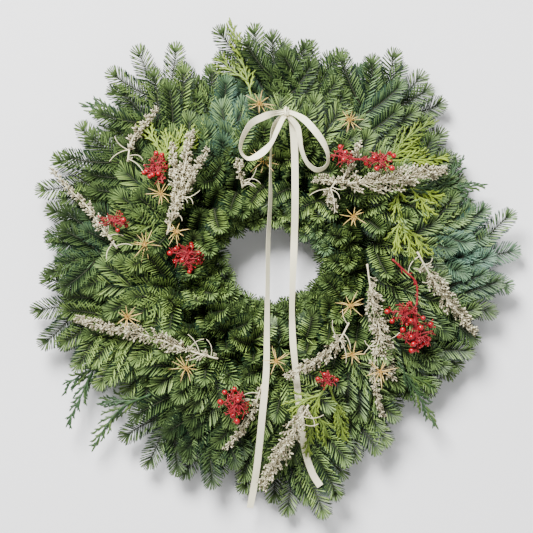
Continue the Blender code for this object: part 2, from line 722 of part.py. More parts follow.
def seed_head(name, index):
    """A small ball with a pointed ray pulled out of each of its front and side faces."""
    x, y, lift, ray = SEED_HEADS[index]
    centre = on_crown((x, y), lift)
    bm = bmesh.new()
    turn = Matrix.Translation(centre) @ Matrix.Rotation(index * GOLDEN, 4, "Z")
    bmesh.ops.create_icosphere(bm, subdivisions=1, radius=HEAD_R, matrix=turn)
    bm.faces.ensure_lookup_table()
    for i, face in enumerate(list(bm.faces)):
        way = (face.calc_center_median() - centre).normalized()
        if way.z < RAY_LOWEST:
            continue
        way = Vector((way.x, way.y, way.z * 0.6)).normalized()
        for share in RAY_SHARES:
            tip = centre + way * ray * MM * share * (1.0 - 0.12 * (i % 3))
            if ROOM.gap(name, centre, tip, RAY_R) > NEEDLE_CLEAR:
                made = bmesh.ops.poke(bm, faces=[face])
                made["verts"][0].co = tip
                ROOM.take(name, centre, tip, RAY_R)
                break
    ROOM.take(name, centre, centre, HEAD_R)
    return [bm]


def strip(points):
    """A flat band along points of (x, y, height, lean)."""
    path = [Vector(p[:3]) * MM for p in points]
    bm = bmesh.new()
    before = None
    for point, way, row in zip(path, directions(path), points):
        side, up = sideways(way)
        lean = math.radians(row[3])
        across = (side * math.cos(lean) + up * math.sin(lean)) * RIBBON_HALF
        front = point + way.cross(across).normalized() * RIBBON_THICK / 2
        edge = [bm.verts.new(front + across), bm.verts.new(front - across)]
        places = [point + across * share for share in LANES]
        if before:
            for one, two in zip(before[1], places):
                ROOM.take("ribbon_bow", one, two, LANE_R)
            left, right = before[0]
            bm.faces.new((left, right, edge[1]))
            bm.faces.new((left, edge[1], edge[0]))
        before = (edge, places)
    bm.normal_update()
    bmesh.ops.solidify(bm, geom=bm.faces[:], thickness=RIBBON_THICK)
    return bm


def ribbon_bow():
    solids = [strip(points) for points in (LEFT_LOOP, RIGHT_LOOP, LEFT_TAIL, RIGHT_TAIL)]
    knot = bmesh.new()
    bmesh.ops.create_cube(knot, size=1.0)
    bmesh.ops.scale(knot, vec=KNOT_SIZE, verts=knot.verts)
    bmesh.ops.bevel(knot, geom=knot.edges[:], offset=KNOT_EDGE, offset_type="OFFSET", segments=1,
                    profile=0.5, affect="EDGES", material=-1)
    bmesh.ops.translate(knot, vec=Vector(KNOT) * MM, verts=knot.verts)
    ROOM.take("ribbon_bow", Vector(KNOT) * MM, Vector(KNOT) * MM, KNOT_ROOM)
    return [knot] + solids


def add_pick(name, solids, tops, surfaces):
    """The pointed end of a decoration's stem, pushed into the fir as far as a twig."""
    for top in tops:
        end = ROOM.seat(name, top, surfaces)
        if end:
            solids.append(spike(top, end, PICK_R))
            ROOM.take(name, top, end, PICK_R)
            return
    raise ValueError(f"{name} reaches no twig")


def main():
    for obj in list(bpy.data.objects):
        bpy.data.objects.remove(obj)
    paints = {name: material(name) for name in COLOURS}
    wire_frame(paints["steel_wire"])
    binding_wire(paints["binding"])

    bunches = {}
    surfaces = []
    for index in range(BUNCH_COUNT):
        name = f"fir_bunch_{index + 1:02d}"
        stem, twigs = bunch_twigs(index)
        ROOM.take(name, stem[0], stem[1], STEM_R)
        solids = [tube(stem, STEM_R, STEM_R, 4)]
        for points in twigs:
            ROOM.take_path(name, points, TWIG_R)
            solids.append(tube(points, TWIG_R, TWIG_TIP_R, TWIG_SIDES))
        surfaces.extend(BVHTree.FromBMesh(bm) for bm in solids)
        bunches[name] = (twigs, solids)

    made = {"ribbon_bow": ("satin", ribbon_bow())}
    tops = {"ribbon_bow": [Vector(KNOT) * MM]}
    for name in CEDAR:
        made[name] = ("cedar", cedar_fronds(name))
        tops[name] = [on_crown(p, CEDAR_LIFT[name]) for p in CEDAR[name][0][:-1]]
    for name in PLUMES:
        made[name] = ("plume", plume_strands(name))
        tops[name] = [on_crown(p, PLUME_LIFT[name]) for p in PLUMES[name][0][1][:-1]]
    for name in SPRIGS:
        made[name] = ("berry", berry_sprig(name))
        tops[name] = [on_crown(p, SPRIG_LIFT[name]) for p in SPRIGS[name][0]]
    for index in range(len(SEED_HEADS)):
        name = f"seed_head_{index + 1:02d}"
        made[name] = ("straw", seed_head(name, index))
        tops[name] = [on_crown(SEED_HEADS[index], SEED_HEADS[index][2])]
    for name, top in tops.items():
        add_pick(name, made[name][1], top, surfaces)
    for name, (paint, solids) in made.items():
        fuse(name, solids, paints[paint])

    for index, (name, (twigs, solids)) in enumerate(bunches.items()):
        for j, points in enumerate(twigs):
            solids.extend(fir_needles(name, points, SEED + 50 * index + j))
        fuse(name, solids, paints["fir"])


main()
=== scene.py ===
"""Fresh evergreen wreath: the fine foliage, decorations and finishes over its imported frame.

Each node of the frame is replaced by a finer piece that keeps its form: fir bunches with every needle,
scale-leaved cedar, dried plumes, red berry sprigs, straw seed heads, the satin bow and the wires.
Units are metres, +Z is the wreath's front and +Y its top.
"""

import math
import random

import bmesh
import bpy
import numpy as np
from bpy.props import FloatProperty, FloatVectorProperty, IntProperty, PointerProperty
from mathutils import Matrix, Vector


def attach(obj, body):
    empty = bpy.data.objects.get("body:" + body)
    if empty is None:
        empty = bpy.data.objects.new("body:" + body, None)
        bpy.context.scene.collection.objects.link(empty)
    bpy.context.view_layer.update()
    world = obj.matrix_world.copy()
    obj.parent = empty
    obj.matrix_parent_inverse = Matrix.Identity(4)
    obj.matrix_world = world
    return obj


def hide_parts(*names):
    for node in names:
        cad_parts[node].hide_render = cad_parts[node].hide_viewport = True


bl_info = {
    "name": "Evergreen wreath",
    "version": (1, 0, 0),
    "blender": (4, 5, 0),
    "location": "3D View > Sidebar > Wreath",
    "description": "Grows and dresses a fir wreath over its wire frame",
    "category": "Object",
}

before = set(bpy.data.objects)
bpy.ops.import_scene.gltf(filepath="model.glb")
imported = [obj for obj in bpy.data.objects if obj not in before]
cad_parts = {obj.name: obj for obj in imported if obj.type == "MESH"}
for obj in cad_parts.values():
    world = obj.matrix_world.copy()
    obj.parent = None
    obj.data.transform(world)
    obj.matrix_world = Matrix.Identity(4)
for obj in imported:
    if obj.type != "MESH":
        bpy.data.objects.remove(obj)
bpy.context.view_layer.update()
BODY = "root"

MM = 0.001
SEED = 7

# The frame's driving sizes
RING_CENTRE = Vector((-7.0, 4.0, 0.0)) * MM
RAIL_RADII = (110.0 * MM, 150.0 * MM)
WIRE_R = 1.5 * MM
RAIL_Z = 3.9 * MM
GAP = 0.3 * MM
BAR_COUNT = 6
BAR_PAST = 3 * WIRE_R  # how far the bars pass the rails
BUNCH_COUNT = 18
BUNCH_STEP = 360.0 / BUNCH_COUNT
FIRST_BUNCH = -4.0
STEM_R = 2.8 * MM
STEM_Z = RAIL_Z + WIRE_R + GAP + STEM_R
STEM_INNER = (104.0 * MM, 8.0)  # radius, degrees past the bunch's angle
STEM_OUTER = (156.0 * MM, -6.0)
BINDING_R = 0.8 * MM
BINDING_BESIDE = RAIL_Z + 2.1 * MM
BINDING_PAST = 5.6 * MM  # how far outside the rails it passes them
BINDING_IN = 11.0 * MM  # how far inside the rails it bends over a stem
BINDING_OUT = 4.0 * MM  # how far outside the rails it bends under them
TWIGS_OUTSIDE = 5  # outer and upper twigs of a bunch together
TIP_REACH = 11.0 * MM  # how far the needles pass the end of their twig
UPPER_TWIGS = ((-9, 234, 0.70), (-3, 100, 0.34), (6, 212, 0.62))  # degrees ahead, reach, place on the stem
INNER_TWIGS = ((-5, 0.19), (5, 0.06))  # degrees ahead, place on the stem
INNER_TWIG_RISE = 40.0 * MM
HOLE_CENTRE = Vector((-10.0, 7.0, 0.0)) * MM
HOLE_HALF = (87.0 * MM, 71.0 * MM)  # where the inner twigs end
FLOOR_CLEAR = 0.8 * MM

# The foliage's front, in millimetres: highest over the middle of the ring, lower to both sides
CROWN_RADIUS = 140.0
CROWN_TOP = 70.0
CROWN_LOWEST = 30.0
CROWN_FALL_INSIDE = 0.006  # times the squared distance from that radius
CROWN_FALL_OUTSIDE = 0.0022
SHADE_FROM = 15.0  # under the front, from where the needles are painted darker as shade
SHADE_OVER = 65.0  # from there to black

# Twig tips of each fir bunch, in millimetres from the centre
OUTER_TIPS = (
    ((340, 26), (303, -22), (305, -62)),
    ((297, 44), (268, 75), (262, 128)),
    ((243, 160), (235, 194)),
    ((206, 275), (175, 286), (133, 289)),
    ((76, 302), (46, 318)),
    ((-6, 330), (-32, 342)),
    ((-92, 283), (-136, 285)),
    ((-197, 310), (-221, 253)),
    ((-265, 190), (-314, 157)),
    ((-323, 85), (-321, 38), (-309, 10)),
    ((-342, -60), (-305, -106)),
    ((-270, -130), (-214, -176)),
    ((-183, -200), (-183, -278)),
    ((-132, -292), (-94, -281)),
    ((-48, -296), (-4, -328)),
    ((14, -345), (35, -314), (62, -281)),
    ((108, -271), (144, -230), (171, -200)),
    ((222, -168), (249, -150), (276, -95)),
)

# Cedar fronds: how yellow each is, and its points in millimetres
CEDAR = {
    "cedar_top_left": (
        (0.1, ((-164, 192), (-207, 205), (-241, 219), (-276, 232))),
        (0.1, ((-200, 203), (-231, 222), (-259, 236))),
        (0.2, ((-170, 193), (-213, 190), (-262, 194))),
    ),
    "cedar_left_fan": (
        (0.9, ((-157, 131), (-160, 159), (-176, 186), (-188, 206))),
        (0.8, ((-157, 140), (-153, 169), (-153, 190))),
        (0.9, ((-156, 135), (-140, 165), (-133, 198))),
        (0.8, ((-156, 135), (-119, 180), (-101, 204))),
    ),
    "cedar_top": (
        (0.6, ((-35, 236), (-45, 278), (-55, 313), (-66, 349))),
        (0.5, ((-40, 262), (-62, 277), (-77, 292))),
    ),
    "cedar_right_branch": (
        (0.9, ((151, 150), (163, 128), (169, 107), (167, 89), (178, 51), (195, 4))),
        (0.5, ((151, 150), (175, 177), (220, 208))),
        (0.7, ((151, 150), (179, 166), (206, 179))),
        (0.9, ((151, 150), (200, 152), (242, 155))),
        (0.0, ((168, 107), (197, 112), (242, 113), (293, 118))),
        (0.0, ((225, 112), (247, 132), (253, 155))),
        (0.0, ((214, 112), (249, 102), (269, 101))),
        (1.0, ((189, 112), (221, 100), (252, 88))),
        (1.0, ((186, 112), (203, 93), (213, 75))),
        (0.9, ((175, 62), (193, 43), (208, 18))),
        (0.9, ((172, 68), (166, 46), (168, 23))),
    ),
    "cedar_lower_left_outer": (
        (0.0, ((-231, -117), (-259, -145), (-276, -181), (-295, -220))),
        (0.05, ((-250, -136), (-276, -150), (-299, -167))),
    ),
    "cedar_lower_left_inner": (
        (0.1, ((-178, -177), (-217, -195), (-241, -223), (-259, -255))),
        (0.0, ((-199, -187), (-223, -186), (-250, -188))),
    ),
    "cedar_bottom": (
        (0.6, ((72, -160), (56, -184), (47, -226), (41, -262))),
        (0.7, ((62, -176), (36, -184), (21, -202))),
        (0.6, ((72, -160), (86, -205), (94, -240), (94, -271))),
        (0.5, ((52, -200), (67, -222), (66, -246))),
    ),
    "cedar_lower_right": (
        (0.1, ((169, -131), (189, -163), (206, -191), (225, -223))),
        (0.2, ((179, -146), (200, -156), (227, -168))),
    ),
}
CEDAR_LIFT = {
    "cedar_top_left": 4, "cedar_left_fan": 13, "cedar_top": 14, "cedar_right_branch": 8,
    "cedar_lower_left_outer": 9, "cedar_lower_left_inner": 4, "cedar_bottom": 12,
    "cedar_lower_right": 10,
}

# Plumes: strands as half width and points in millimetres
PLUMES = {
    "plume_left_upright": (
        (11, ((-152, 48), (-141, 85), (-130, 130), (-120, 188))),
        (7, ((-140, 88), (-142, 130), (-145, 170))),
        (7, ((-145, 72), (-120, 124), (-97, 163))),
    ),
    "plume_upper_left": ((7, ((-208, 150), (-203, 178), (-187, 200), (-168, 222))),),
    "plume_by_the_bow": ((7, ((-48, 113), (-51, 131), (-53, 150))),),
    "plume_right": (
        (17, ((74, 120), (109, 118), (151, 122), (193, 131), (232, 136))),
        (8, ((88, 119), (102, 146), (113, 172))),
        (7, ((90, 119), (69, 122), (53, 122))),
        (7, ((80, 119), (71, 102), (80, 83))),
    ),
    "plume_lower_left": ((12, ((-83, -125), (-122, -114), (-178, -94), (-234, -83), (-281, -71))),),
    "plume_lower_centre": ((7, ((-21, -162), (-34, -198), (-52, -229), (-71, -251))),),
    "plume_right_inner": (
        (15, ((125, 5), (130, -30), (140, -75), (150, -114), (157, -147))),
        (6, ((143, -92), (135, -130), (138, -168), (147, -205))),
    ),
    "plume_right_outer": ((13, ((195, 22), (212, -8), (236, -41), (258, -66), (276, -88))),),
    "plume_lower_right": ((11, ((99, -76), (81, -107), (53, -128), (17, -148))),),
    "plume_bottom": ((15, ((43, -190), (28, -215), (11, -247), (-7, -279), (-20, -303))),),
    "plume_far_left": ((6, ((-223, 29), (-248, 61), (-264, 85), (-290, 110), (-315, 138))),),
}
PLUME_LIFT = {
    "plume_left_upright": 26, "plume_upper_left": 22, "plume_by_the_bow": 12, "plume_right": 28,
    "plume_lower_left": 14, "plume_lower_centre": 14, "plume_right_inner": 14,
    "plume_right_outer": 22, "plume_lower_right": 19, "plume_bottom": 30, "plume_far_left": 16,
}

# Berry sprigs: stem points, then clusters of (x, y, half width, half height, branches, berries)
SPRIGS = {
    "berry_sprig_upper_left": (((-158, 118), (-163, 134)), ((-166, 139, 17, 21, 9, 9),)),
    "berry_sprig_far_left": (((-212, 62), (-225, 65)), ((-228, 66, 20, 9, 7, 3),)),
    "berry_sprig_left": (((-118, -2), (-124, 10)), ((-125, 17, 24, 18, 12, 14),)),
    "berry_sprig_top_right": (
        ((112, 150), (124, 150), (136, 148)), ((87, 154, 16, 11, 6, 3), (142, 149, 20, 13, 10, 9)),
    ),
    "berry_sprig_right": (
        ((160, 12), (178, -5), (192, -19), (194, -44), (188, -60)),
        ((176, -62, 20, 16, 9, 6), (194, -93, 26, 24, 15, 18)),
    ),
    "berry_sprig_bottom_right": (((70, -142), (69, -150)), ((69, -154, 12, 9, 5, 3),)),
    "berry_sprig_bottom_left": (((-48, -172), (-54, -182)), ((-58, -188, 21, 21, 12, 9),)),
}
SPRIG_LIFT = {
    "berry_sprig_upper_left": 26, "berry_sprig_far_left": 30, "berry_sprig_left": 20,
    "berry_sprig_top_right": 46, "berry_sprig_right": 26, "berry_sprig_bottom_right": 30,
    "berry_sprig_bottom_left": 28,
}

# Seed heads: x, y, lift, and ray length in millimetres
SEED_HEADS = (
    (-24, 229, 22, 22), (-18, 149, 8, 22), (101, 206, 20, 22), (106, 72, 20, 22),
    (-160, 103, 40, 21), (-183, 33, 16, 24), (-139, 50, 40, 20), (-207, -67, 38, 22),
    (-126, -138, 20, 22), (-1, -128, 22, 20), (101, -51, 34, 22), (142, -142, 44, 24),
    (104, -119, 30, 18),
)

# Ribbon: centre line points in millimetres (x, y, height), with its lean in degrees
KNOT = (12.5, 215, 103)
LEFT_LOOP = (
    (10.5, 216, 105, 0), (-3, 214, 108, 40), (-18, 209, 112, 12), (-36, 199, 113, 35),
    (-47.5, 180, 110, 55), (-50.5, 164, 105, 66), (-45, 154, 101, 64), (-36, 151.5, 99, 48),
    (-20.5, 160, 99, 12), (-8, 173, 101, 52), (-1, 188, 103, 48), (5, 201, 104, 30),
    (10, 211, 103.4, 0),
)
RIGHT_LOOP = (
    (14.5, 216, 105, 0), (25, 212, 108, 25), (38, 204, 112, 12), (51, 190, 114, 8),
    (62, 175, 112, 28), (69, 160, 108, 55), (70, 147, 104, 65), (64.5, 139, 101, 62),
    (55, 136, 100, 50), (46, 141, 101, 54), (39, 150, 102, 60), (33.5, 165, 102, 56),
    (31, 180, 103, 46), (27.5, 196, 103, 35), (15, 211, 103.4, 0),
)
LEFT_TAIL = (
    (10.5, 211, 100.8, 0), (-1, 202, 96, 50), (-7, 187, 91, 68), (-8.5, 160, 88, 74),
    (-9, 130, 84, 70), (-9, 96, 78, 60), (-12, 40, 60, 54), (-13, -30, 60, 50),
    (-14, -86, 74, 38), (-15, -142, 86, 24), (-20, -198, 84, 12), (-27, -268, 60, 10),
    (-33, -310, 46, 15), (-38, -336, 42, 15),
)
RIGHT_TAIL = (
    (15, 211, 100.8, 0), (21, 199, 94, 10), (24, 166, 88, 0), (25, 96, 76, 0), (24, 40, 58, 0),
    (22, -16, 56, 25), (21, -58, 62, 40), (22, -100, 70, 20), (26, -142, 70, 30),
    (30, -184, 66, 10), (34, -219, 58, 10), (40, -258, 42, 10), (50, -288, 36, 5),
    (61, -306, 34, 0),
)
RIBBON_STEPS = 8  # from one row to the next
RIBBON_PRESS = 3.5 * MM  # the fir under the ribbon stays this far below it
PRESS_FLAT = 7.0 * MM  # on each side of its centre line, and past that along a slope
PRESS_REACH = 20.0 * MM
PRESS_SLOPE = 0.40
PRESS_HALF = 90.0 * MM  # the ribbon lies nearer than this to the wreath's centre, left and right

# Where the fir is blue-green or fresh yellow-green: x, y and radius in millimetres, and strength
BLUE_PATCHES = ((262, 20, 60, 1.0), (-57, 215, 45, 0.9), (-80, 163, 30, 0.8), (120, 230, 40, 0.4),
                (-230, 30, 40, 0.5), (60, 40, 30, 0.5))
FRESH_PATCHES = ((-214, -110, 60, 0.6), (-210, 20, 70, 0.8), (-183, -200, 45, 0.4), (235, 60, 30, 0.5),
                 (-120, -60, 60, 0.5), (-150, -20, 50, 0.6), (110, -190, 50, 0.4))
# Where it lies in the shade of what grows over it, in the same way
SHADY_PATCHES = ((-140, -240, 95, 0.9), (222, 10, 36, 0.9), (-262, 60, 60, 0.4), (232, -125, 60, 0.4))

# The photograph's view
VIEW_CENTRE = Vector((-14.7, 2.8, 50.0)) * MM
VIEW_WIDTH = 746.0 * MM
VIEW_DISTANCE = 3.4
FLOOR_HALF = 6.0


# Sizes and colours

def length(label, about, default):
    return FloatProperty(name=label, description=about, default=default, min=0.0, unit="LENGTH",
                         precision=4)


def share(label, about, default):
    return FloatProperty(name=label, description=about, default=default, min=0.0, max=1.0,
                         subtype="FACTOR")


def colour(label, about, default):
    return FloatVectorProperty(name=label, description=about, default=default, min=0.0, max=1.0,
                               size=3, subtype="COLOR")


class FirSettings(bpy.types.PropertyGroup):
    needle_length: length("Needle length", "Length of a full-grown needle", 18.0 * MM)
    needle_width: length("Needle width", "Width of a needle at its middle", 1.75 * MM)
    needle_step: length("Needle step", "Distance along the shoot from one needle to the next", 0.72 * MM)
    side_shoots: IntProperty(name="Side shoots", description="Side shoots on each twig", default=6,
                             min=0, max=10)
    # The darkest needles' colour, which also serves as the painted shade of low ranks, deep foliage and
    # needle roots
    dark: colour("Dark needles and painted shade", "Colour of the darkest needles and of their painted shade", (0.008, 0.024, 0.010))
    green: colour("Needles", "Colour of most needles", (0.215, 0.335, 0.102))
    fresh: colour("New needles", "Colour of the newest growth", (0.30, 0.43, 0.110))
    blue: colour("Waxy needles", "Colour of the needles with a blue bloom", (0.095, 0.200, 0.150))
    bark: colour("Bark", "Colour of the twigs", (0.034, 0.038, 0.014))


class CedarSettings(bpy.types.PropertyGroup):
    leaf_width: length("Leaf width", "Width of a branchlet", 3.6 * MM)
    spray_step: length("Branchlet step", "Distance between branchlets on a frond", 8.5 * MM)
    dark: colour("Dark leaves", "Colour of the old fronds", (0.030, 0.074, 0.022))
    bright: colour("Bright leaves", "Colour of the young fronds", (0.32, 0.44, 0.035))


class PlumeSettings(bpy.types.PropertyGroup):
    floret_length: length("Floret length", "Length of one dried floret", 4.6 * MM)
    pale: colour("Florets", "Colour of the florets", (1.0, 0.94, 0.65))
    # Partly the florets' own brown, partly painted shade deep in the plume
    shade: colour("Inner florets", "Colour deep inside the plume", (0.105, 0.080, 0.045))
    stem: colour("Stems", "Colour of the dried stems", (0.84, 0.76, 0.51))


class BerrySettings(bpy.types.PropertyGroup):
    berry_radius: length("Berry radius", "Radius of a full-grown berry", 4.0 * MM)
    stem_radius: length("Stem radius", "Radius of the red stems", 1.25 * MM)
    skin: colour("Berry skin", "Colour of the berries", (0.41, 0.001, 0.008))
    stem: colour("Stems", "Colour of the red stems", (0.28, 0.001, 0.009))


class SeedHeadSettings(bpy.types.PropertyGroup):
    ray_width: length("Ray width", "Width of a ray at its widest", 1.6 * MM)
    straw: colour("Straw", "Colour of the rays", (0.80, 0.57, 0.18))
    heart: colour("Heart", "Colour of the middle of the head", (0.44, 0.22, 0.025))


class RibbonSettings(bpy.types.PropertyGroup):
    width: length("Width", "Width of the ribbon", 10.0 * MM)
    thickness: length("Thickness", "Thickness of the ribbon", 0.4 * MM)
    satin: colour("Satin", "Colour of the ribbon", (0.97, 0.91, 0.64))


class WireSettings(bpy.types.PropertyGroup):
    frame_paint: colour("Frame paint", "Colour of the painted frame", (0.030, 0.060, 0.035))
    binding_paint: colour("Binding", "Colour of the binding wire's lacquer", (0.045, 0.12, 0.050))


class StageSettings(bpy.types.PropertyGroup):
    floor: colour("Floor", "Colour of the floor", (0.93, 0.93, 0.94))
    key_power: FloatProperty(name="Key light", description="Power of the soft light from the top",
                             default=800.0, min=0.0, unit="POWER")
    fill_power: FloatProperty(name="Fill light", description="Power of the soft light from below",
                              default=14.0, min=0.0, unit="POWER")
    sky: share("Sky", "Brightness of the even light all round", 0.30)


# Where everything is

def crown_line(radius):
    """Height of the foliage's front by the distance from the ring's centre, both in millimetres."""
    inner = CROWN_TOP - CROWN_FALL_INSIDE * (CROWN_RADIUS - radius) ** 2
    outer = np.maximum(CROWN_TOP - CROWN_FALL_OUTSIDE * (radius - CROWN_RADIUS) ** 2, CROWN_LOWEST)
    return np.where(radius < CROWN_RADIUS, inner, outer)


def crown(x, y):
    """Height of the foliage's front at a place, in metres."""
    return float(crown_line(math.hypot(x - RING_CENTRE.x, y - RING_CENTRE.y) / MM)) * MM


def painted_depth_shade(places):
    """Painted shade by how deep places lie under the foliage's front: 0 at the front, 1 where no light
    comes.
    """
    radius = np.hypot(places[:, 0] - RING_CENTRE.x, places[:, 1] - RING_CENTRE.y) / MM
    depth = crown_line(radius) - places[:, 2] / MM
    return np.clip((depth - SHADE_FROM) / SHADE_OVER, 0.0, 1.0)


def on_ring(radius, degrees, z):
    """A point round the ring's centre."""
    angle = math.radians(degrees)
    return RING_CENTRE + Vector((radius * math.cos(angle), radius * math.sin(angle), z))


def on_crown(point, lift):
    """A point over the foliage's front, from millimetres."""
    x, y = point[0] * MM, point[1] * MM
    return Vector((x, y, crown(x, y) + lift * MM))


def bezier(start, control, end, steps):
    """Points of a curve that bends towards its control point."""
    points = []
    for i in range(steps + 1):
        t = i / steps
        points.append(start * (1 - t) ** 2 + control * 2 * t * (1 - t) + end * t ** 2)
    return points


def smooth_path(points, steps):
    """Points of a smooth curve through the given ones."""
    path = []
    for i in range(len(points) - 1):
        a, b = points[i], points[i + 1]
        before = points[i - 1] if i else a
        after = points[i + 2] if i + 2 < len(points) else b
        for j in range(steps):
            t = j / steps
            path.append(0.5 * (2 * a + (b - before) * t + (2 * before - 5 * a + 4 * b - after) * t ** 2
                               + (3 * a - before - 3 * b + after) * t ** 3))
    path.append(points[-1].copy())
    return path


def path_length(points):
    return sum((b - a).length for a, b in zip(points, points[1:]))


def along_path(points, part):
    """The place and direction at a share of a path's length."""
    lengths = [(b - a).length for a, b in zip(points, points[1:])]
    at = part * sum(lengths)
    k = 0
    while k < len(lengths) - 1 and at > lengths[k]:
        at -= lengths[k]
        k += 1
    point = points[k].lerp(points[k + 1], min(at / lengths[k], 1.0))
    return point, (points[k + 1] - points[k]).normalized()


def sideways(direction):
    """Two directions square to a path, the second one as near to up as it can be."""
    up = Vector((0, 0, 1)) if abs(direction.z) < 0.95 else Vector((1, 0, 0))
    side = direction.cross(up).normalized()
    return side, side.cross(direction).normalized()


def frames(points):
    """Direction, side and up at each point of a path, carried along it without a twist."""
    out = []
    side = None
    for i in range(len(points)):
        before, after = points[max(i - 1, 0)], points[min(i + 1, len(points) - 1)]
        way = (after - before).normalized()
        if side is None:
            side = sideways(way)[0]
        side = (side - way * side.dot(way)).normalized()
        out.append((way, side, side.cross(way).normalized()))
    return out


# Making pieces

def sweep(sections):
    """A closed shape through a list of outlines that have the same number of points."""
    bm = bmesh.new()
    corners = [bm.verts.new(place) for place in sections[0]]
    face = bm.faces.new(corners)
    for places in sections[1:]:
        face = bmesh.ops.extrude_discrete_faces(bm, faces=[face])["faces"][0]
        for loop, place in zip(face.loops, places):
            loop.vert.co = place
    bm.faces.new(corners[::-1])
    return bm


def tube(points, radii, sides, flat=1.0):
    """A closed tube along points, with a radius for each."""
    sections = []
    for point, (_, side, up), radius in zip(points, frames(points), radii):
        angles = [math.tau * i / sides for i in range(sides)]
        sections.append([point + radius * (math.cos(a) * side + flat * math.sin(a) * up) for a in angles])
    return sweep(sections)


def tapered(points, start, end):
    """A radius for each point, from the start's to the end's."""
    last = len(points) - 1
    return [start + (end - start) * i / last for i in range(len(points))]


def level_path(span, steps):
    """Even points from the origin along +X."""
    return [Vector((span * k / steps, 0, 0)) for k in range(steps + 1)]


def pick(top, depth, radii):
    """The stem that sticks a decoration into the fir, straight down from its root."""
    low = top - Vector((0, 0, depth * MM))
    return tube([top, top.lerp(low, 0.5), low], [radius * MM for radius in radii], 6)


def growth_layer(bm):
    """The layer with each vertex's tip share, root share, tone and bloom."""
    layers = bm.verts.layers.float_color
    return layers.get("growth") or layers.new("growth")


def set_growth(bm, values):
    """Fills the growth layer from a function of the vertex."""
    layer = growth_layer(bm)
    for vert in bm.verts:
        vert[layer] = values(vert)


def dress(part, finish, smooth=True):
    """Turns a part's faces outwards and gives them their finish."""
    bmesh.ops.recalc_face_normals(part, faces=part.faces)
    for face in part.faces:
        face.material_index = finish
        face.smooth = smooth


def as_mesh(bm, name):
    """A mesh of a bmesh, which is then freed."""
    mesh = bpy.data.meshes.new(name)
    bm.to_mesh(mesh)
    bm.free()
    return mesh


def merge(bm, mesh):
    """Adds a mesh to a bmesh and removes the mesh."""
    bm.from_mesh(mesh)
    bpy.data.meshes.remove(mesh)


class Piece:
    """One piece in the making: closed parts are added to it, each with a finish and growth values."""

    def __init__(self, name):
        self.name = name
        self.bm = bmesh.new()
        growth_layer(self.bm)

    def add(self, part, finish=0, growth=None):
        """Adds a part, which is then freed; growth gives all its vertices the same values."""
        if growth:
            set_growth(part, lambda vert: growth)
        growth_layer(part)
        dress(part, finish)
        merge(self.bm, as_mesh(part, "part"))

    def finish(self, materials, slot, *nodes):
        """The piece as an object that rides on the wreath and stands for its nodes."""
        mesh = as_mesh(self.bm, self.name)
        for material in materials:
            mesh.materials.append(material)
        obj = bpy.data.objects.new(self.name, mesh)
        bpy.context.scene.collection.objects.link(obj)
        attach(obj, BODY)
        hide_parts(*nodes)


class Sprig:
    """A straight sample of growth along +X, which can be laid along any path."""

    def __init__(self, mesh, span):
        count = len(mesh.vertices)
        self.mesh = mesh
        self.span = span
        places = np.empty(count * 3)
        mesh.vertices.foreach_get("co", places)
        growth = np.empty(count * 4)
        mesh.attributes["growth"].data.foreach_get("color", growth)
        self.growth = growth.reshape(-1, 4)
        self.offsets = places.reshape(-1, 3)
        self.offsets[:, 0] -= self.growth[:, 1] * span

    def bent(self, points, tone, bloom, press=None, thick=1.0, shaded=False):
        """A mesh of the sample along a path. Each repeat keeps its shape, and a shaded one gets painted
        shade, darker where it lies deep."""
        lengths = np.array([0.0] + [(b - a).length for a, b in zip(points, points[1:])]).cumsum()
        at = self.growth[:, 1] * lengths[-1]
        turned = np.array([[tuple(v) for v in row] for row in frames(points)])
        spots = np.array([tuple(p) for p in points])
        centre = np.stack([np.interp(at, lengths, spots[:, k]) for k in range(3)], 1)
        axes = np.stack([np.interp(at, lengths, turned[:, j, k]) for j in range(3) for k in range(3)], 1)
        offsets = self.offsets * thick
        places = centre + (offsets[:, :, None] * axes.reshape(-1, 3, 3)).sum(1)
        if press:
            places = press(places)
        places[:, 2] = np.maximum(places[:, 2], FLOOR_CLEAR)
        mesh = self.mesh.copy()
        mesh.vertices.foreach_set("co", places.astype(np.float32).ravel())
        growth = self.growth.copy()
        # Painted shade: tone and bloom are darkened where the place lies deep under the foliage's front
        lit = 1.0 - painted_depth_shade(places) if shaded else 1.0
        growth[:, 2] = np.clip(growth[:, 2] + tone, 0, 1) * lit
        growth[:, 3] = bloom * lit
        mesh.attributes["growth"].data.foreach_set("color", growth.astype(np.float32).ravel())
        return mesh


def patch_value(point, patches):
    """How strongly a place lies in any of the patches, from 0 to 1."""
    value = 0.0
    for x, y, radius, strength in patches:
        away = math.hypot(point.x / MM - x, point.y / MM - y) / radius
        value = max(value, strength * max(0.0, 1.0 - away ** 2))
    return value


# Finishes

CALYX = (0.03, 0.012, 0.008)
PALE_STRAW = (0.94, 0.80, 0.42)
MOTTLE_INPUTS = (("Vector", "Vector"), ("Colour", "Color"), ("Shade", "Color"), ("Scale", "Float"),
                 ("Amount", "Float"))
MOTTLE_OUTPUTS = (("Colour", "Color"), ("Height", "Float"))


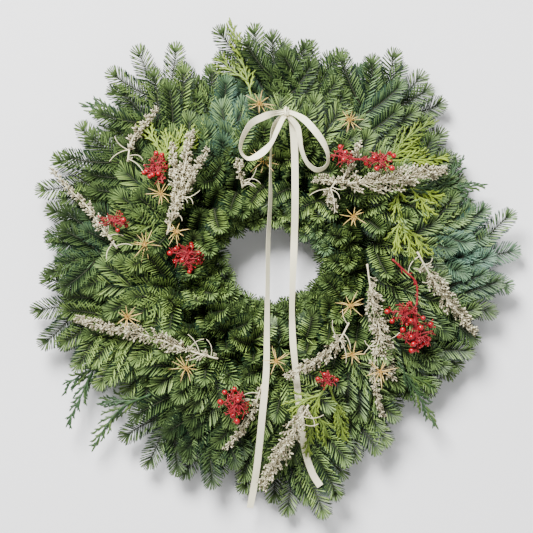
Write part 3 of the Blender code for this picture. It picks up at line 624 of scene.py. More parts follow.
def mottle_group():
    """Leaf mottle: two noises that darken a colour in patches and give a height for a bump."""
    name = "leaf mottle"
    if name in bpy.data.node_groups:
        return bpy.data.node_groups[name]
    group = bpy.data.node_groups.new(name, "ShaderNodeTree")
    for way, sockets in (("INPUT", MOTTLE_INPUTS), ("OUTPUT", MOTTLE_OUTPUTS)):
        for label, kind in sockets:
            group.interface.new_socket(label, in_out=way, socket_type="NodeSocket" + kind)
    nodes = group.nodes
    given, out = nodes.new("NodeGroupInput").outputs, nodes.new("NodeGroupOutput").inputs
    broad, fine = nodes.new("ShaderNodeTexNoise"), nodes.new("ShaderNodeTexNoise")
    broad.inputs["Detail"].default_value = 3.0
    fine.inputs["Detail"].default_value = 2.0
    finer, amount = nodes.new("ShaderNodeMath"), nodes.new("ShaderNodeMath")
    finer.operation = amount.operation = "MULTIPLY"
    finer.inputs[1].default_value = 9.0
    ramp = nodes.new("ShaderNodeMapRange")
    ramp.inputs["From Min"].default_value = 0.35
    ramp.inputs["From Max"].default_value = 0.68
    mix = nodes.new("ShaderNodeMix")
    mix.data_type = "RGBA"
    for source, target in (
        (given["Vector"], broad.inputs["Vector"]), (given["Vector"], fine.inputs["Vector"]),
        (given["Scale"], broad.inputs["Scale"]), (given["Scale"], finer.inputs[0]),
        (finer.outputs[0], fine.inputs["Scale"]), (broad.outputs["Fac"], ramp.inputs["Value"]),
        (ramp.outputs["Result"], amount.inputs[0]), (given["Amount"], amount.inputs[1]),
        (amount.outputs[0], mix.inputs["Factor"]), (given["Colour"], mix.inputs[6]),
        (given["Shade"], mix.inputs[7]), (mix.outputs[2], out["Colour"]),
        (fine.outputs["Fac"], out["Height"]),
    ):
        group.links.new(source, target)
    return group


class Finish:
    """A material in the making, with the few steps that these finishes share."""

    def __init__(self, name, roughness, **values):
        self.material = bpy.data.materials.new(name)
        self.material.use_nodes = True
        self.nodes = self.material.node_tree.nodes
        self.links = self.material.node_tree.links
        self.shader = self.nodes["Principled BSDF"]
        self.shader.inputs["Roughness"].default_value = roughness
        for socket, value in values.items():
            self.shader.inputs[socket.replace("_", " ").title()].default_value = value
        self.place = self.nodes.new("ShaderNodeTexCoord").outputs["Object"]

    def feed(self, socket, value):
        """Gives a socket a number, a colour or another node's output."""
        if isinstance(value, bpy.types.NodeSocket):
            self.links.new(value, socket)
        elif isinstance(value, float):
            socket.default_value = value
        else:
            socket.default_value = (*value, 1.0)

    def growth(self):
        """Tip share, root share and tone as one vector's parts, and the bloom."""
        read = self.nodes.new("ShaderNodeAttribute")
        read.attribute_name = "growth"
        parts = self.nodes.new("ShaderNodeSeparateColor")
        self.links.new(read.outputs["Color"], parts.inputs[0])
        return parts.outputs[0], parts.outputs[1], parts.outputs[2], read.outputs["Alpha"]

    def ranged(self, value, low, high, to_low=0.0, to_high=1.0):
        """A value moved from one range to another."""
        node = self.nodes.new("ShaderNodeMapRange")
        limits = {"From Min": low, "From Max": high, "To Min": to_low, "To Max": to_high}
        for label, number in limits.items():
            node.inputs[label].default_value = number
        self.links.new(value, node.inputs["Value"])
        return node.outputs["Result"]

    def mixed(self, factor, one, two):
        """One colour or another, by a factor."""
        node = self.nodes.new("ShaderNodeMix")
        node.data_type = "RGBA"
        self.feed(node.inputs["Factor"], factor)
        self.feed(node.inputs[6], one)
        self.feed(node.inputs[7], two)
        return node.outputs[2]

    def mottled(self, base, shade, scale, amount, bump=None):
        """The shader's colour: a base, darkened in patches of a scale, and bumped by (strength, depth)."""
        group = self.nodes.new("ShaderNodeGroup")
        group.node_tree = mottle_group()
        for label, value in (("Vector", self.place), ("Colour", base), ("Shade", shade), ("Scale", scale),
                             ("Amount", amount)):
            self.feed(group.inputs[label], value)
        self.links.new(group.outputs["Colour"], self.shader.inputs["Base Color"])
        if bump:
            self.bumped(group.outputs["Height"], *bump)

    def bumped(self, height, strength, depth):
        """The shader's relief, from a height."""
        relief = self.nodes.new("ShaderNodeBump")
        relief.inputs["Strength"].default_value = strength
        relief.inputs["Distance"].default_value = depth
        self.links.new(height, relief.inputs["Height"])
        self.links.new(relief.outputs["Normal"], self.shader.inputs["Normal"])


def dimmed(colour_value, by):
    """A colour made darker, or lighter by more than 1."""
    return tuple(part * by for part in colour_value)


def plain_finish(name, base, shade, roughness, scale, amount, bump, **values):
    """One colour that is darker in patches: bark, dry stems or paint."""
    finish = Finish(name, roughness, **values)
    finish.mottled(base, dimmed(base, shade), scale, amount, bump)
    return finish.material


def needle_finish(fir):
    """Painted shade at the needles' roots, fresher towards the shoot's tip, with a blue bloom in places."""
    finish = Finish("fir needles", 0.5)
    finish.shader.inputs["Specular IOR Level"].default_value = 0.22
    tip, root, tone, bloom = finish.growth()
    base = finish.mixed(tone, fir.dark, fir.green)
    base = finish.mixed(finish.ranged(tone, 0.70, 1.0), base, fir.fresh)
    base = finish.mixed(bloom, base, fir.blue)
    base = finish.mixed(finish.ranged(root, 0.7, 1.0, 0.0, 0.12), base, fir.fresh)
    # Painted shade: the needles darken towards their roots, where they crowd round the twig
    base = finish.mixed(finish.ranged(tip, 0.05, 0.6, 0.92, 0.0), base, dimmed(fir.dark, 0.35))
    finish.mottled(base, dimmed(fir.dark, 0.8), 45.0, 0.22, (0.25, 0.3 * MM))
    return finish.material


def cedar_finish(cedar):
    """Dark or yellow-green by the frond's tone, and brighter at the leaves' tips."""
    finish = Finish("cedar leaves", 0.48)
    tip, _, tone, _ = finish.growth()
    base = finish.mixed(tone, cedar.dark, cedar.bright)
    young = finish.mixed(finish.ranged(tone, 0.2, 0.6), dimmed(cedar.dark, 1.5), cedar.bright)
    base = finish.mixed(finish.ranged(tip, 0.3, 1.0, 0.0, 0.4), base, young)
    finish.mottled(base, dimmed(cedar.dark, 0.7), 120.0, 0.4, (0.5, 0.5 * MM))
    return finish.material


def floret_finish(plume):
    """Pale at the florets' tips and dark deep inside the plume: partly their brown, partly painted shade.
    """
    finish = Finish("dried florets", 0.85)
    finish.shader.inputs["Specular IOR Level"].default_value = 0.2
    tip, root, tone, _ = finish.growth()
    # Painted shade, with some real brown: darker towards each twig's axis and towards the plume's stem
    base = finish.mixed(finish.ranged(tip, 0.15, 0.75), plume.shade, plume.pale)
    base = finish.mixed(finish.ranged(root, 0.30, 0.80, 0.90, 0.0), base, plume.shade)
    base = finish.mixed(finish.ranged(tone, 0.0, 1.0, 0.45, 0.0), base, plume.shade)
    finish.mottled(base, dimmed(plume.shade, 2.0), 260.0, 0.3, (0.5, 0.4 * MM))
    return finish.material


def berry_finish(berry):
    """Glossy red, each berry a little different, with a dark calyx."""
    finish = Finish("berry skin", 0.3, coat_weight=0.3, coat_roughness=0.10)
    tip, _, tone, _ = finish.growth()
    base = finish.mixed(finish.ranged(tone, 0.0, 1.0, 0.35, 0.0), berry.skin, dimmed(berry.skin, 0.35))
    base = finish.mixed(finish.ranged(tip, 0.94, 1.0), base, CALYX)
    finish.mottled(base, dimmed(berry.skin, 0.5), 150.0, 0.4, (0.08, 0.3 * MM))
    return finish.material


def straw_finish(heads):
    """Brown at the heart, paler towards the rays' points."""
    finish = Finish("straw rays", 0.45)
    tip = finish.growth()[0]
    base = finish.mixed(finish.ranged(tip, 0.0, 0.35), heads.heart, heads.straw)
    base = finish.mixed(finish.ranged(tip, 0.5, 1.0, 0.0, 0.4), base, PALE_STRAW)
    finish.mottled(base, heads.heart, 300.0, 0.45, (0.6, 0.4 * MM))
    return finish.material


def satin_finish(ribbon):
    """Fine cross ribs, read from the ribbon's own lengths."""
    finish = Finish("ribbon satin", 0.38, sheen_weight=0.15, sheen_roughness=0.4)
    finish.mottled(ribbon.satin, dimmed(ribbon.satin, 0.82), 25.0, 0.5)
    read = finish.nodes.new("ShaderNodeUVMap")
    read.uv_map = "band"
    ribs = finish.nodes.new("ShaderNodeTexWave")
    ribs.bands_direction = "X"
    ribs.inputs["Scale"].default_value = 260.0
    ribs.inputs["Distortion"].default_value = 0.6
    finish.links.new(read.outputs["UV"], ribs.inputs["Vector"])
    finish.bumped(ribs.outputs["Fac"], 0.35, 0.3 * MM)
    return finish.material


# Fir

SHOOT_SPANS = (45 * MM, 70 * MM, 100 * MM)
SHOOTS_EACH = 3  # samples of each span
NEEDLE_ROOT = 0.36  # radius over its three edges, as a share of its width setting
NEEDLE_FAR = 0.52  # the same where its blunt tip begins
NEEDLE_EVEN = 0.88  # the share of its length before that tip
NEEDLE_FLAT = 0.6  # its height, as a share of a round one's
NEEDLE_SWEEP = (2.6 * MM, 0.8 * MM)  # how far the needles' tips bend forward and up
TIP_LENGTH = 12.0 * MM  # of a shoot, where its needles close up round the bud
TIP_CLOSING = 20  # degrees by which they do so
BURST = 11  # needles round the bud
BURST_YAW = 56  # degrees to both sides
# Needles in turn: rise over the spray, lean from the shoot, and lightness
# The lightness is painted light on the high ranks and painted shade on the low ones beneath them
RANKS = (
    (34, 58, 0.28), (-10, 64, -0.90), (8, 62, -0.80), (28, 60, 0.18), (-26, 60, -0.95),
    (2, 64, -0.85), (40, 56, 0.30), (-4, 64, -0.90), (12, 62, -0.75),
)
BURST_RANKS = ((28, 0.0), (-16, -0.6))  # rise and lightness, by turns; the low needles get painted shade
BARE_SHARE = {"outer": 0.28, "upper": 0.20, "inner": 0.25}  # of a twig, at its root
FULLNESS = {"outer": 1.08, "upper": 1.22, "inner": 1.05}  # of the shoots, by where their twig grows
FEWER_SHOOTS = {"outer": 0, "upper": 1, "inner": 2}  # side shoots
SIDE_SHOOT_LENGTHS = (40 * MM, 80 * MM)  # least and most
SIDE_SHOOTS_TO = 0.74  # of a twig, from where it has no more side shoots
SIDE_SHOOT_ANGLE = 0.80  # radians from its twig, at its root
# Shoots under a bunch: degrees ahead, then near and far radius and height in millimetres
UNDER_SHOOTS = ((-8, 98, 158, 20), (-1, 112, 185, 25), (6, 100, 165, 18), (3, 150, 215, 22))


def bunch_twigs(index):
    """The stem of one bunch, and its twigs' kinds and paths, as in the frame."""
    draw = random.Random(SEED * 100 + index)
    angle = FIRST_BUNCH + index * BUNCH_STEP
    inner = on_ring(STEM_INNER[0], angle + STEM_INNER[1], STEM_Z)
    outer = on_ring(STEM_OUTER[0], angle + STEM_OUTER[1], STEM_Z)
    odd = index % 2
    twigs = []
    for j, (x, y) in enumerate(OUTER_TIPS[index]):
        start = inner.lerp(outer, 0.97 - 0.09 * j)
        z = (22 + 8 * ((j + index) % 3) + 3 * odd) * MM
        tip = Vector((x * MM, y * MM, z))
        end = tip - (tip - start).normalized() * TIP_REACH
        middle = start.lerp(end, 0.5)
        middle.z = 0.8 * z + 4 * MM
        across = Vector((end.y - start.y, start.x - end.x, 0)).normalized()
        twigs.append(("outer", bezier(start, middle + across * draw.uniform(-9, 9) * MM, end, 14)))
    for ahead, reach, base in UPPER_TWIGS[:TWIGS_OUTSIDE - len(OUTER_TIPS[index])]:
        start = inner.lerp(outer, base)
        radius = (reach + draw.uniform(-10, 10)) * MM
        tip = on_ring(radius, angle + ahead + draw.uniform(-2, 2), 0)
        tip.z = crown(tip.x, tip.y) - (8 + 6 * odd) * MM
        side = 1 if reach > 140 else -1
        control = on_ring(130 * MM + side * 16 * MM, angle + ahead * 0.4, crown(0, 0.14) + 8 * MM)
        twigs.append(("upper", bezier(start, control, tip, 14)))
    for ahead, base in INNER_TWIGS:
        start = inner.lerp(outer, base)
        phi = math.radians(angle + ahead)
        tip = HOLE_CENTRE + Vector((HOLE_HALF[0] * math.cos(phi), HOLE_HALF[1] * math.sin(phi), 0))
        tip.z = (27 + 6 * odd + draw.uniform(-2, 2)) * MM
        control = start.lerp(tip, 0.6)
        control.z = INNER_TWIG_RISE
        twigs.append(("inner", bezier(start, control, tip, 14)))
    return [inner, outer], twigs


def one_needle(fir):
    """A ridged blade along +X, of length 1: narrow at its root, then nearly even, blunt at its tip."""
    bm = bmesh.new()
    bmesh.ops.create_cone(bm, cap_ends=True, segments=3, radius1=NEEDLE_ROOT * fir.needle_width,
                          radius2=NEEDLE_FAR * fir.needle_width, depth=NEEDLE_EVEN)
    for vert in bm.verts:
        vert.co = Vector((vert.co.z + NEEDLE_EVEN / 2, vert.co.y, vert.co.x * NEEDLE_FLAT))
    far = [face for face in bm.faces if face.calc_center_median().x > NEEDLE_EVEN - 0.01]
    bmesh.ops.poke(bm, faces=far)["verts"][0].co.x = 1.0
    set_growth(bm, lambda vert: (vert.co.x, 0, 0, 0))
    bmesh.ops.recalc_face_normals(bm, faces=bm.faces)
    return as_mesh(bm, "needle")


def needle_rows(fir, span, draw):
    """Each needle of a shoot: its place, lean and rise in degrees, size, and lightness as painted light and
    shade by rank.
    """
    count = round(span / fir.needle_step)
    for i in range(count):
        part = (i + 0.5) / count
        near_tip = max(0.0, 1.0 - (1.0 - part) * span / TIP_LENGTH)
        rise, lean, light = RANKS[i // 2 % len(RANKS)]
        rise += draw.uniform(-5, 5)
        lean += draw.uniform(-3, 3) - TIP_CLOSING * near_tip
        size = (1.0 - 0.12 * near_tip) * min(1.0, 0.7 + 4 * part) * draw.uniform(0.92, 1.04)
        yield part, (1, -1)[i % 2] * lean, rise, size, light - 0.15 * near_tip
    for k in range(BURST):
        yaw = (2 * (k + 0.5) / BURST - 1) * BURST_YAW
        rise, light = BURST_RANKS[k % 2]
        size = draw.uniform(0.66, 0.84)
        yield 1.0, yaw + draw.uniform(-4, 4), rise, size, light


def shoot_sample(fir, span, seed):
    """A straight shoot: needles parted to both sides in ranks, with a rounded burst of them at its tip."""
    draw = random.Random(seed)
    needle = one_needle(fir)
    bm = bmesh.new()
    growth = growth_layer(bm)
    for part, lean, rise, size, light in list(needle_rows(fir, span, draw)):
        known = len(bm.verts)
        bm.from_mesh(needle)
        bm.verts.ensure_lookup_table()
        fresh = bm.verts[known:]
        out, rise = math.radians(lean), math.radians(rise)
        way = Vector((math.cos(out), math.sin(out) * math.cos(rise), abs(math.sin(out)) * math.sin(rise)))
        across, up = sideways(way)
        turn = Matrix((way * size * fir.needle_length, across, up)).transposed().to_4x4()
        turn.translation = (part * span, 0, 0)
        bmesh.ops.transform(bm, matrix=turn, verts=fresh)
        tone = light + draw.uniform(-0.14, 0.18)
        for vert in fresh:
            vert[growth] = (vert[growth][0], part, tone, 0)
    bpy.data.meshes.remove(needle)
    for vert in bm.verts:
        sweep_on = vert[growth][0] ** 2
        vert.co.x += NEEDLE_SWEEP[0] * sweep_on
        vert.co.z += NEEDLE_SWEEP[1] * sweep_on
    points = level_path(span, 8)
    wood = tube(points, tapered(points, 1.1 * MM, 0.5 * MM), 5)
    set_growth(wood, lambda vert: (0, vert.co.x / span, 0, 0))
    dress(wood, 1)
    merge(bm, as_mesh(wood, "wood"))
    return Sprig(as_mesh(bm, "shoot"), span)


def ribbon_press():
    """A function that pushes points down where the ribbon lies over them."""
    spots = []
    for rows in (LEFT_LOOP, RIGHT_LOOP, LEFT_TAIL, RIGHT_TAIL):
        spots.extend(smooth_path([Vector(row[:3]) * MM for row in rows], RIBBON_STEPS))
    spots = np.array([tuple(spot) for spot in spots])

    def press(places):
        if not (np.abs(places[:, 0]) < PRESS_HALF).any():
            return places
        away = np.sqrt(((places[:, None, :2] - spots[None, :, :2]) ** 2).sum(2))
        under = spots[None, :, 2] - RIBBON_PRESS + PRESS_SLOPE * np.maximum(away - PRESS_FLAT, 0.0)
        limit = np.where(away < PRESS_REACH, under, np.inf).min(1)
        places[:, 2] = np.minimum(places[:, 2], limit)
        return places

    return press


def side_path(points, part, side, size, rise, draw):
    """A side shoot that leaves a twig and bends back towards the twig's own direction."""
    start, way = along_path(points, part)
    across, up = sideways(way)
    out = way * math.cos(SIDE_SHOOT_ANGLE) + across * side * math.sin(SIDE_SHOOT_ANGLE) + up * rise
    bend = (way * 0.85 + across * side * 0.45 + up * rise * 0.3).normalized()
    middle = start + out.normalized() * size * 0.55
    end = middle + bend * size * 0.48 + Vector((0, 0, draw.uniform(-3, 3))) * MM
    return bezier(start, middle, end, 7)


def fir_bunch(index, fir, samples, press, materials):
    """A stem, the shoots under it, and its twigs, each with a leading shoot and side shoots."""
    draw = random.Random(SEED * 300 + index)
    (inner, outer), twigs = bunch_twigs(index)
    piece = Piece(f"fir_bunch_{index + 1:02d}_sprays")
    piece.add(tube([inner, inner.lerp(outer, 0.5), outer], (STEM_R, STEM_R, STEM_R * 0.9), 10), 1)

    def shoot(points, tone, thick=1.0):
        size = path_length(points)
        sample = min(samples, key=lambda s: abs(s[0].span - size))
        middle = points[len(points) // 2]
        bloom = patch_value(middle, BLUE_PATCHES) * draw.uniform(0.6, 1.0)
        # Fresh patches lighten by the needles' own colour; shady patches are painted shade
        tone += 0.25 * patch_value(middle, FRESH_PATCHES) - 0.45 * patch_value(middle, SHADY_PATCHES)
        merge(piece.bm, draw.choice(sample).bent(points, tone, bloom, press, thick, shaded=True))

    angle = FIRST_BUNCH + index * BUNCH_STEP
    # The shoots under a bunch get a low tone: painted shade under the bunch
    for ahead, near, far, z in UNDER_SHOOTS:
        low, high = on_ring(near * MM, angle + ahead, z * MM), on_ring(far * MM, angle + ahead + 5, z * MM)
        shoot(bezier(low, low.lerp(high, 0.5) + Vector((0, 0, 6)) * MM, high, 6), draw.uniform(0.0, 0.15))
    for kind, points in twigs:
        bare = BARE_SHARE[kind]
        wood = [along_path(points, bare * 1.1 * k / 4)[0] for k in range(5)]
        piece.add(tube(wood, tapered(wood, 1.9 * MM, 1.3 * MM), 6), 1)
        size = path_length(points)
        tone = draw.uniform(0.15, 0.55) if kind == "outer" else draw.uniform(0.45, 0.68)
        leading = [along_path(points, bare + (1 - bare) * k / 10)[0] for k in range(11)]
        shoot(leading, tone, FULLNESS[kind])
        count = fir.side_shoots - FEWER_SHOOTS[kind]
        for k in range(count):
            first = bare * 0.7
            part = first + (SIDE_SHOOTS_TO - first) * (k + draw.uniform(0.1, 0.6)) / count
            reach = (0.32 + 0.20 * (1 - part)) * size * draw.uniform(0.85, 1.12)
            reach = min(max(reach, SIDE_SHOOT_LENGTHS[0]), SIDE_SHOOT_LENGTHS[1])
            rise = draw.uniform(-0.10, 0.16) + (0.18 if kind == "outer" and k % 3 == 2 else 0.0)
            path = side_path(points, part, (1, -1)[k % 2], reach, rise, draw)
            shoot(path, tone + draw.uniform(-0.15, 0.12), 0.5 + 0.5 * FULLNESS[kind])
    piece.finish(materials, "fir", f"fir_bunch_{index + 1:02d}")


# Cedar

SCALE_STEP = 3.0 * MM  # from one pair of scale leaves to the next
SIDE_LEAF_STEP = 4.4 * MM
SIDE_LEAF_SIZE = 9.5 * MM
TOP_LEAF_SIZE = 12.0 * MM


def scale_strand(start, way, up, size, width, tone, bend):
    """A flat strand of overlapping scale leaves: its outline steps in and out along it, and it curves to
    one side."""
    steps = max(round(size / SCALE_STEP), 2)
    across = way.cross(up).normalized()
    sections = []
    for i in range(steps + 1):
        t = i / steps
        point = start + way * size * t + across * bend * t * t - up * 0.06 * size * t * t
        for wide, back in ((1.0, 0.0), (0.78, 0.4)):
            if i == steps and back:
                continue
            half = 0.5 * width * wide * (1.0 - 0.6 * t ** 2)
            if i == steps:
                half *= 0.3
            spot = point + way * size / steps * back
            sections.append([spot + across * half, spot + up * half * 0.42,
                             spot - across * half, spot - up * half * 0.42])
    bm = sweep(sections)
    set_growth(bm, lambda vert: (min(max((vert.co - start).dot(way) / size, 0.0), 1.0), 0, tone, 0))
    return bm


def cedar_frond(piece, cedar, path, tone, draw):
    """A rib with branchlets by turns on both sides, each with small side leaves of its own."""
    total = path_length(path)
    count = max(round(total / cedar.spray_step), 4)
    ribs = tapered(path, 0.5 * cedar.leaf_width, 0.3 * cedar.leaf_width)
    piece.add(tube(path, ribs, 5, 0.6), 0, (0.1, 0, max(tone - 0.1, 0), 0))
    for i in range(count):
        t = 0.12 + 0.86 * (i + draw.uniform(0.3, 0.7)) / count
        point, way = along_path(path, t)
        across, up = sideways(way)
        side = (1, -1)[i % 2]
        size = (32 * MM * (1 - t) ** 0.8 + 12 * MM) * min(1.0, 0.5 + 2.0 * t) * draw.uniform(0.6, 1.15)
        angle = math.radians(draw.uniform(18, 32))
        out = way * math.cos(angle) + across * side * math.sin(angle) + up * draw.uniform(-0.15, 0.2)
        out.normalize()
        leaf_tone = min(max(tone + draw.uniform(-0.2, 0.15), 0), 1)
        bend = -side * size * draw.uniform(0.05, 0.16)
        piece.add(scale_strand(point, out, up, size, cedar.leaf_width, leaf_tone, bend))
        subs = int(size / SIDE_LEAF_STEP)
        for k in range(1, subs):
            share_out = k / subs
            sideway = out.cross(up).normalized()
            at = point + out * size * share_out + sideway * bend * share_out ** 2
            turn = (1, -1)[k % 2] * math.radians(draw.uniform(16, 25))
            around = Matrix.Rotation(turn, 3, up) @ out
            small = SIDE_LEAF_SIZE * (1 - 0.4 * share_out) * draw.uniform(0.8, 1.15)
            piece.add(scale_strand(at, around, up, small, cedar.leaf_width * 0.75, leaf_tone, 0.0))
    way = (path[-1] - path[-2]).normalized()
    start, up = path[-1] - way * 2 * MM, sideways(way)[1]
    piece.add(scale_strand(start, way, up, TOP_LEAF_SIZE, cedar.leaf_width, tone, 0))


def cedar_branch(name, cedar, materials):
    """A branch of one or more fronds, on its pick."""
    draw = random.Random(SEED + len(name) * 3)
    lift = CEDAR_LIFT[name]
    piece = Piece(name + "_fronds")
    for tone, points in CEDAR[name]:
        path = smooth_path([on_crown(point, lift) for point in points], 4)
        path[-1] = path[-1] - (path[-1] - path[-2]).normalized() * 6 * MM
        cedar_frond(piece, cedar, path, tone, draw)
    piece.add(pick(on_crown(CEDAR[name][0][1][0], lift), 30, (1.3, 1.2, 0.5)), 0, (0, 0, 0, 0))
    piece.finish(materials, "cedar", name)


# Plumes

FLORETS = 8  # on a side twig
FLORET_TURN = 2.4  # radians round the twig from one to the next
FLORET_TWIG_SPAN = 13.0 * MM
FLORET_SAMPLES = 5
TWIG_STEP = 2.0 * MM  # along a strand of the usual half width
USUAL_HALF = 11.0
LEAST_TWIG = 5.0 * MM
BARE_STEMS = 4  # on each plume


def floret_sample(plume, span, seed):
    """A side twig with small blunt florets on short stalks, in loose clumps."""
    draw = random.Random(seed)
    bm = bmesh.new()
    growth = growth_layer(bm)
    for i in range(FLORETS):
        part = 0.30 + 0.70 * (i // 3 + draw.uniform(0.6, 1.0)) / 3
        known = len(bm.verts)
        size = plume.floret_length * draw.uniform(0.75, 1.2)
        roll, lean = i * FLORET_TURN + draw.uniform(-0.5, 0.5), draw.uniform(0.3, 1.25)
        way = Vector((math.cos(lean), math.sin(lean) * math.cos(roll), math.sin(lean) * math.sin(roll)))
        across, up = sideways(way)
        turn = Matrix((way * size * 0.62, across * size * 0.23, up * size * 0.23)).transposed().to_4x4()
        turn.translation = Vector((part * span, 0, 0)) + way * size * 0.55
        bmesh.ops.create_icosphere(bm, subdivisions=1, radius=1.0, matrix=turn)
        bm.verts.ensure_lookup_table()
        tone = draw.uniform(-0.4, 0.5)
        for vert in bm.verts[known:]:
            vert.co += Vector((draw.uniform(-1, 1), draw.uniform(-1, 1), draw.uniform(-1, 1))) * size * 0.09
            # The tip share grows away from the twig's axis; near the axis the finish paints shade, with
            # some brown
            away = min(math.hypot(vert.co.y, vert.co.z) / plume.floret_length, 1.0)
            vert[growth] = (0.12 + 0.88 * away, part, tone, 0)
    for face in bm.faces:
        face.smooth = True
    points = level_path(span, 3)
    wood = tube(points, tapered(points, 0.6 * MM, 0.4 * MM), 4)
    set_growth(wood, lambda vert: (0.3, vert.co.x / span, 0, 0))
    dress(wood, 1, smooth=False)
    merge(bm, as_mesh(wood, "wood"))
    return Sprig(as_mesh(bm, "floret twig"), span)


def plume_strand(piece, half, path, samples, draw):
    """A stem with floret twigs that lean forward on all sides: bare at its root, then loose, then close."""
    piece.add(tube(path, tapered(path, 1.3 * MM, 0.6 * MM), 6), 1)
    count = round(path_length(path) / TWIG_STEP * (half / USUAL_HALF) ** 0.5)
    for i in range(count):
        t = (i + 0.5) / count
        if t < 0.22 and draw.random() > 0.25 + 3 * t:
            continue
        point, way = along_path(path, t)
        across, up = sideways(way)
        full = half * MM * (1.12 - 0.75 * t ** 2) * min(0.45 + 1.9 * t, 1.0)
        roll = i * FLORET_TURN + draw.uniform(-0.5, 0.5)
        out = across * math.cos(roll) + up * math.sin(roll)
        lean = 0.8 + draw.uniform(-0.3, 0.3)
        size = max(full / math.sin(lean) * draw.uniform(0.5, 1.2), LEAST_TWIG)
        first = (way * math.cos(lean) + out * math.sin(lean)).normalized()
        middle = point + first * size * 0.6
        end = middle + (first + way * draw.uniform(0.1, 0.7)).normalized() * size * 0.45
        thick = 0.6 + 0.4 * min(size / (12 * MM), 1.0)
        tone = 0.6 + draw.uniform(-0.3, 0.4)
        merge(piece.bm, draw.choice(samples).bent(bezier(point, middle, end, 3), tone, 0.0, thick=thick))


def bare_stems(piece, path, draw):
    """A few thin stems without florets, which curl from the root of a plume."""
    for _ in range(BARE_STEMS):
        point, way = along_path(path, draw.uniform(0.0, 0.3))
        across, up = sideways(way)
        size = draw.uniform(16, 34) * MM
        first = (way * draw.uniform(-0.4, 0.9) + across * draw.choice((1, -1)) + up * 0.25).normalized()
        middle = point + first * size * 0.6
        end = middle + (first * 0.4 + way * draw.choice((1, -1)) * 0.8).normalized() * size * 0.5
        curl = bezier(point, middle, end, 6)
        piece.add(tube(curl, tapered(curl, 0.75 * MM, 0.45 * MM), 5), 1)


def dried_plume(name, samples, materials):
    """A plume of one or more strands, with bare stems at its root, on its pick."""
    draw = random.Random(SEED + len(name) * 5)
    lift = PLUME_LIFT[name]
    piece = Piece(name + "_florets")
    for half, points in PLUMES[name]:
        path = smooth_path([on_crown(point, lift) for point in points], 5)
        plume_strand(piece, half, path, samples, draw)
    bare_stems(piece, path, draw)
    piece.add(pick(on_crown(PLUMES[name][0][1][0], lift), 34, (1.5, 1.3, 0.5)), 1)
    piece.finish(materials, "plume", name)


# Berries

TWIGS_PER_BRANCH = 2
FORKS = (0.3, 0.6, 0.85)  # along each twig, where a shorter one leaves it
BUD_R = 1.1 * MM
STEM_STUBS = 8
GOLDEN = math.radians(137.5)  # from one twig to the next round a cluster
BERRY_TALL = 1.06
DIMPLE_FROM = 0.93  # of a berry's height


def berry_ball(centre, radius, way, tone):
    """A round berry with a small dimple and a dark calyx where it faces away from its stem."""
    bm = bmesh.new()
    across, up = sideways(way)
    turn = Matrix((across, up, way)).transposed().to_4x4()
    bmesh.ops.create_uvsphere(bm, u_segments=14, v_segments=10, radius=radius)
    growth = growth_layer(bm)
    for vert in bm.verts:
        up_share = (vert.co.z / radius + 1.0) / 2.0
        vert[growth] = (up_share, 0, tone, 0)
        vert.co.z *= BERRY_TALL
        if up_share > DIMPLE_FROM:
            vert.co.z -= radius * 0.9 * (up_share - DIMPLE_FROM) / 0.07 * 0.12
    bmesh.ops.transform(bm, matrix=Matrix.Translation(centre) @ turn, verts=bm.verts)
    return bm


def red_twig(points, start_r, end_r):
    """A knobbly red stem: thicker at its joints."""
    path = smooth_path(points, 5)
    radii = []
    for i, radius in enumerate(tapered(path, start_r, end_r)):
        radii.append(radius * (1.25 if i % 5 == 0 else 0.92))
    radii[-1] = end_r * 0.5
    return tube(path, radii, 7)


def berry_cluster(piece, path, heart, cluster, berry, draw):
    """A branch off the stem and forked twigs all round it, with berries and buds at their ends."""
    _, _, wide, tall, branches, berries = cluster
    thick = berry.stem_radius
    root = min(path, key=lambda place: (place - heart).length)
    ahead = (heart - root).normalized()
    spine_end = heart + ahead * 0.5 * min(wide, tall) * MM
    bowed = root.lerp(spine_end, 0.5) + Vector((2.5, -1.5, 2.0)) * MM
    piece.add(red_twig([root, bowed, spine_end], thick, thick * 0.8), 1)
    spine = bezier(root, bowed, spine_end, 10)
    ends = []
    count = TWIGS_PER_BRANCH * branches
    for j in range(count):
        start = spine[round(10 * draw.uniform(0.1, 1.0))]
        roll = j * GOLDEN + draw.uniform(-0.4, 0.4)
        out = math.sqrt((j + 0.5) / count) * draw.uniform(0.85, 1.1)
        tip = heart + Vector((wide * math.cos(roll), tall * math.sin(roll), 0)) * out * MM
        tip.z += draw.uniform(-9, 2) * MM
        bend = start.lerp(tip, 0.5) + Vector((draw.uniform(-1, 1), draw.uniform(-1, 1), 0.6)) * 4 * MM
        twig = [start, bend, tip]
        piece.add(red_twig(twig, thick * 0.85, thick * 0.6), 1)
        ends.append((out, tip, (tip - bend).normalized()))
        for part in FORKS:
            origin, along = along_path(twig, part)
            around = Matrix.Rotation(draw.choice((1, -1)) * draw.uniform(0.6, 1.2), 3, "Z") @ along
            around.z += draw.uniform(-0.2, 0.5)
            around.normalize()
            end = origin + around * draw.uniform(5, 11) * MM
            knee = origin.lerp(end, 0.5) + Vector((0, 0, 0.6)) * MM
            piece.add(red_twig([origin, knee, end], thick * 0.6, thick * 0.35), 1)
            ends.append((out - 0.1, end, around))
    ends.sort(key=lambda found: found[0])
    for k, (_, end, way) in enumerate(ends):
        ripe = k * berries // len(ends) != (k + 1) * berries // len(ends)
        if not ripe and k % 3:
            continue
        radius = berry.berry_radius * draw.uniform(0.75, 1.05) if ripe else BUD_R * draw.uniform(0.8, 1.3)
        piece.add(berry_ball(end + way * radius * 0.8, radius, way, draw.random()))


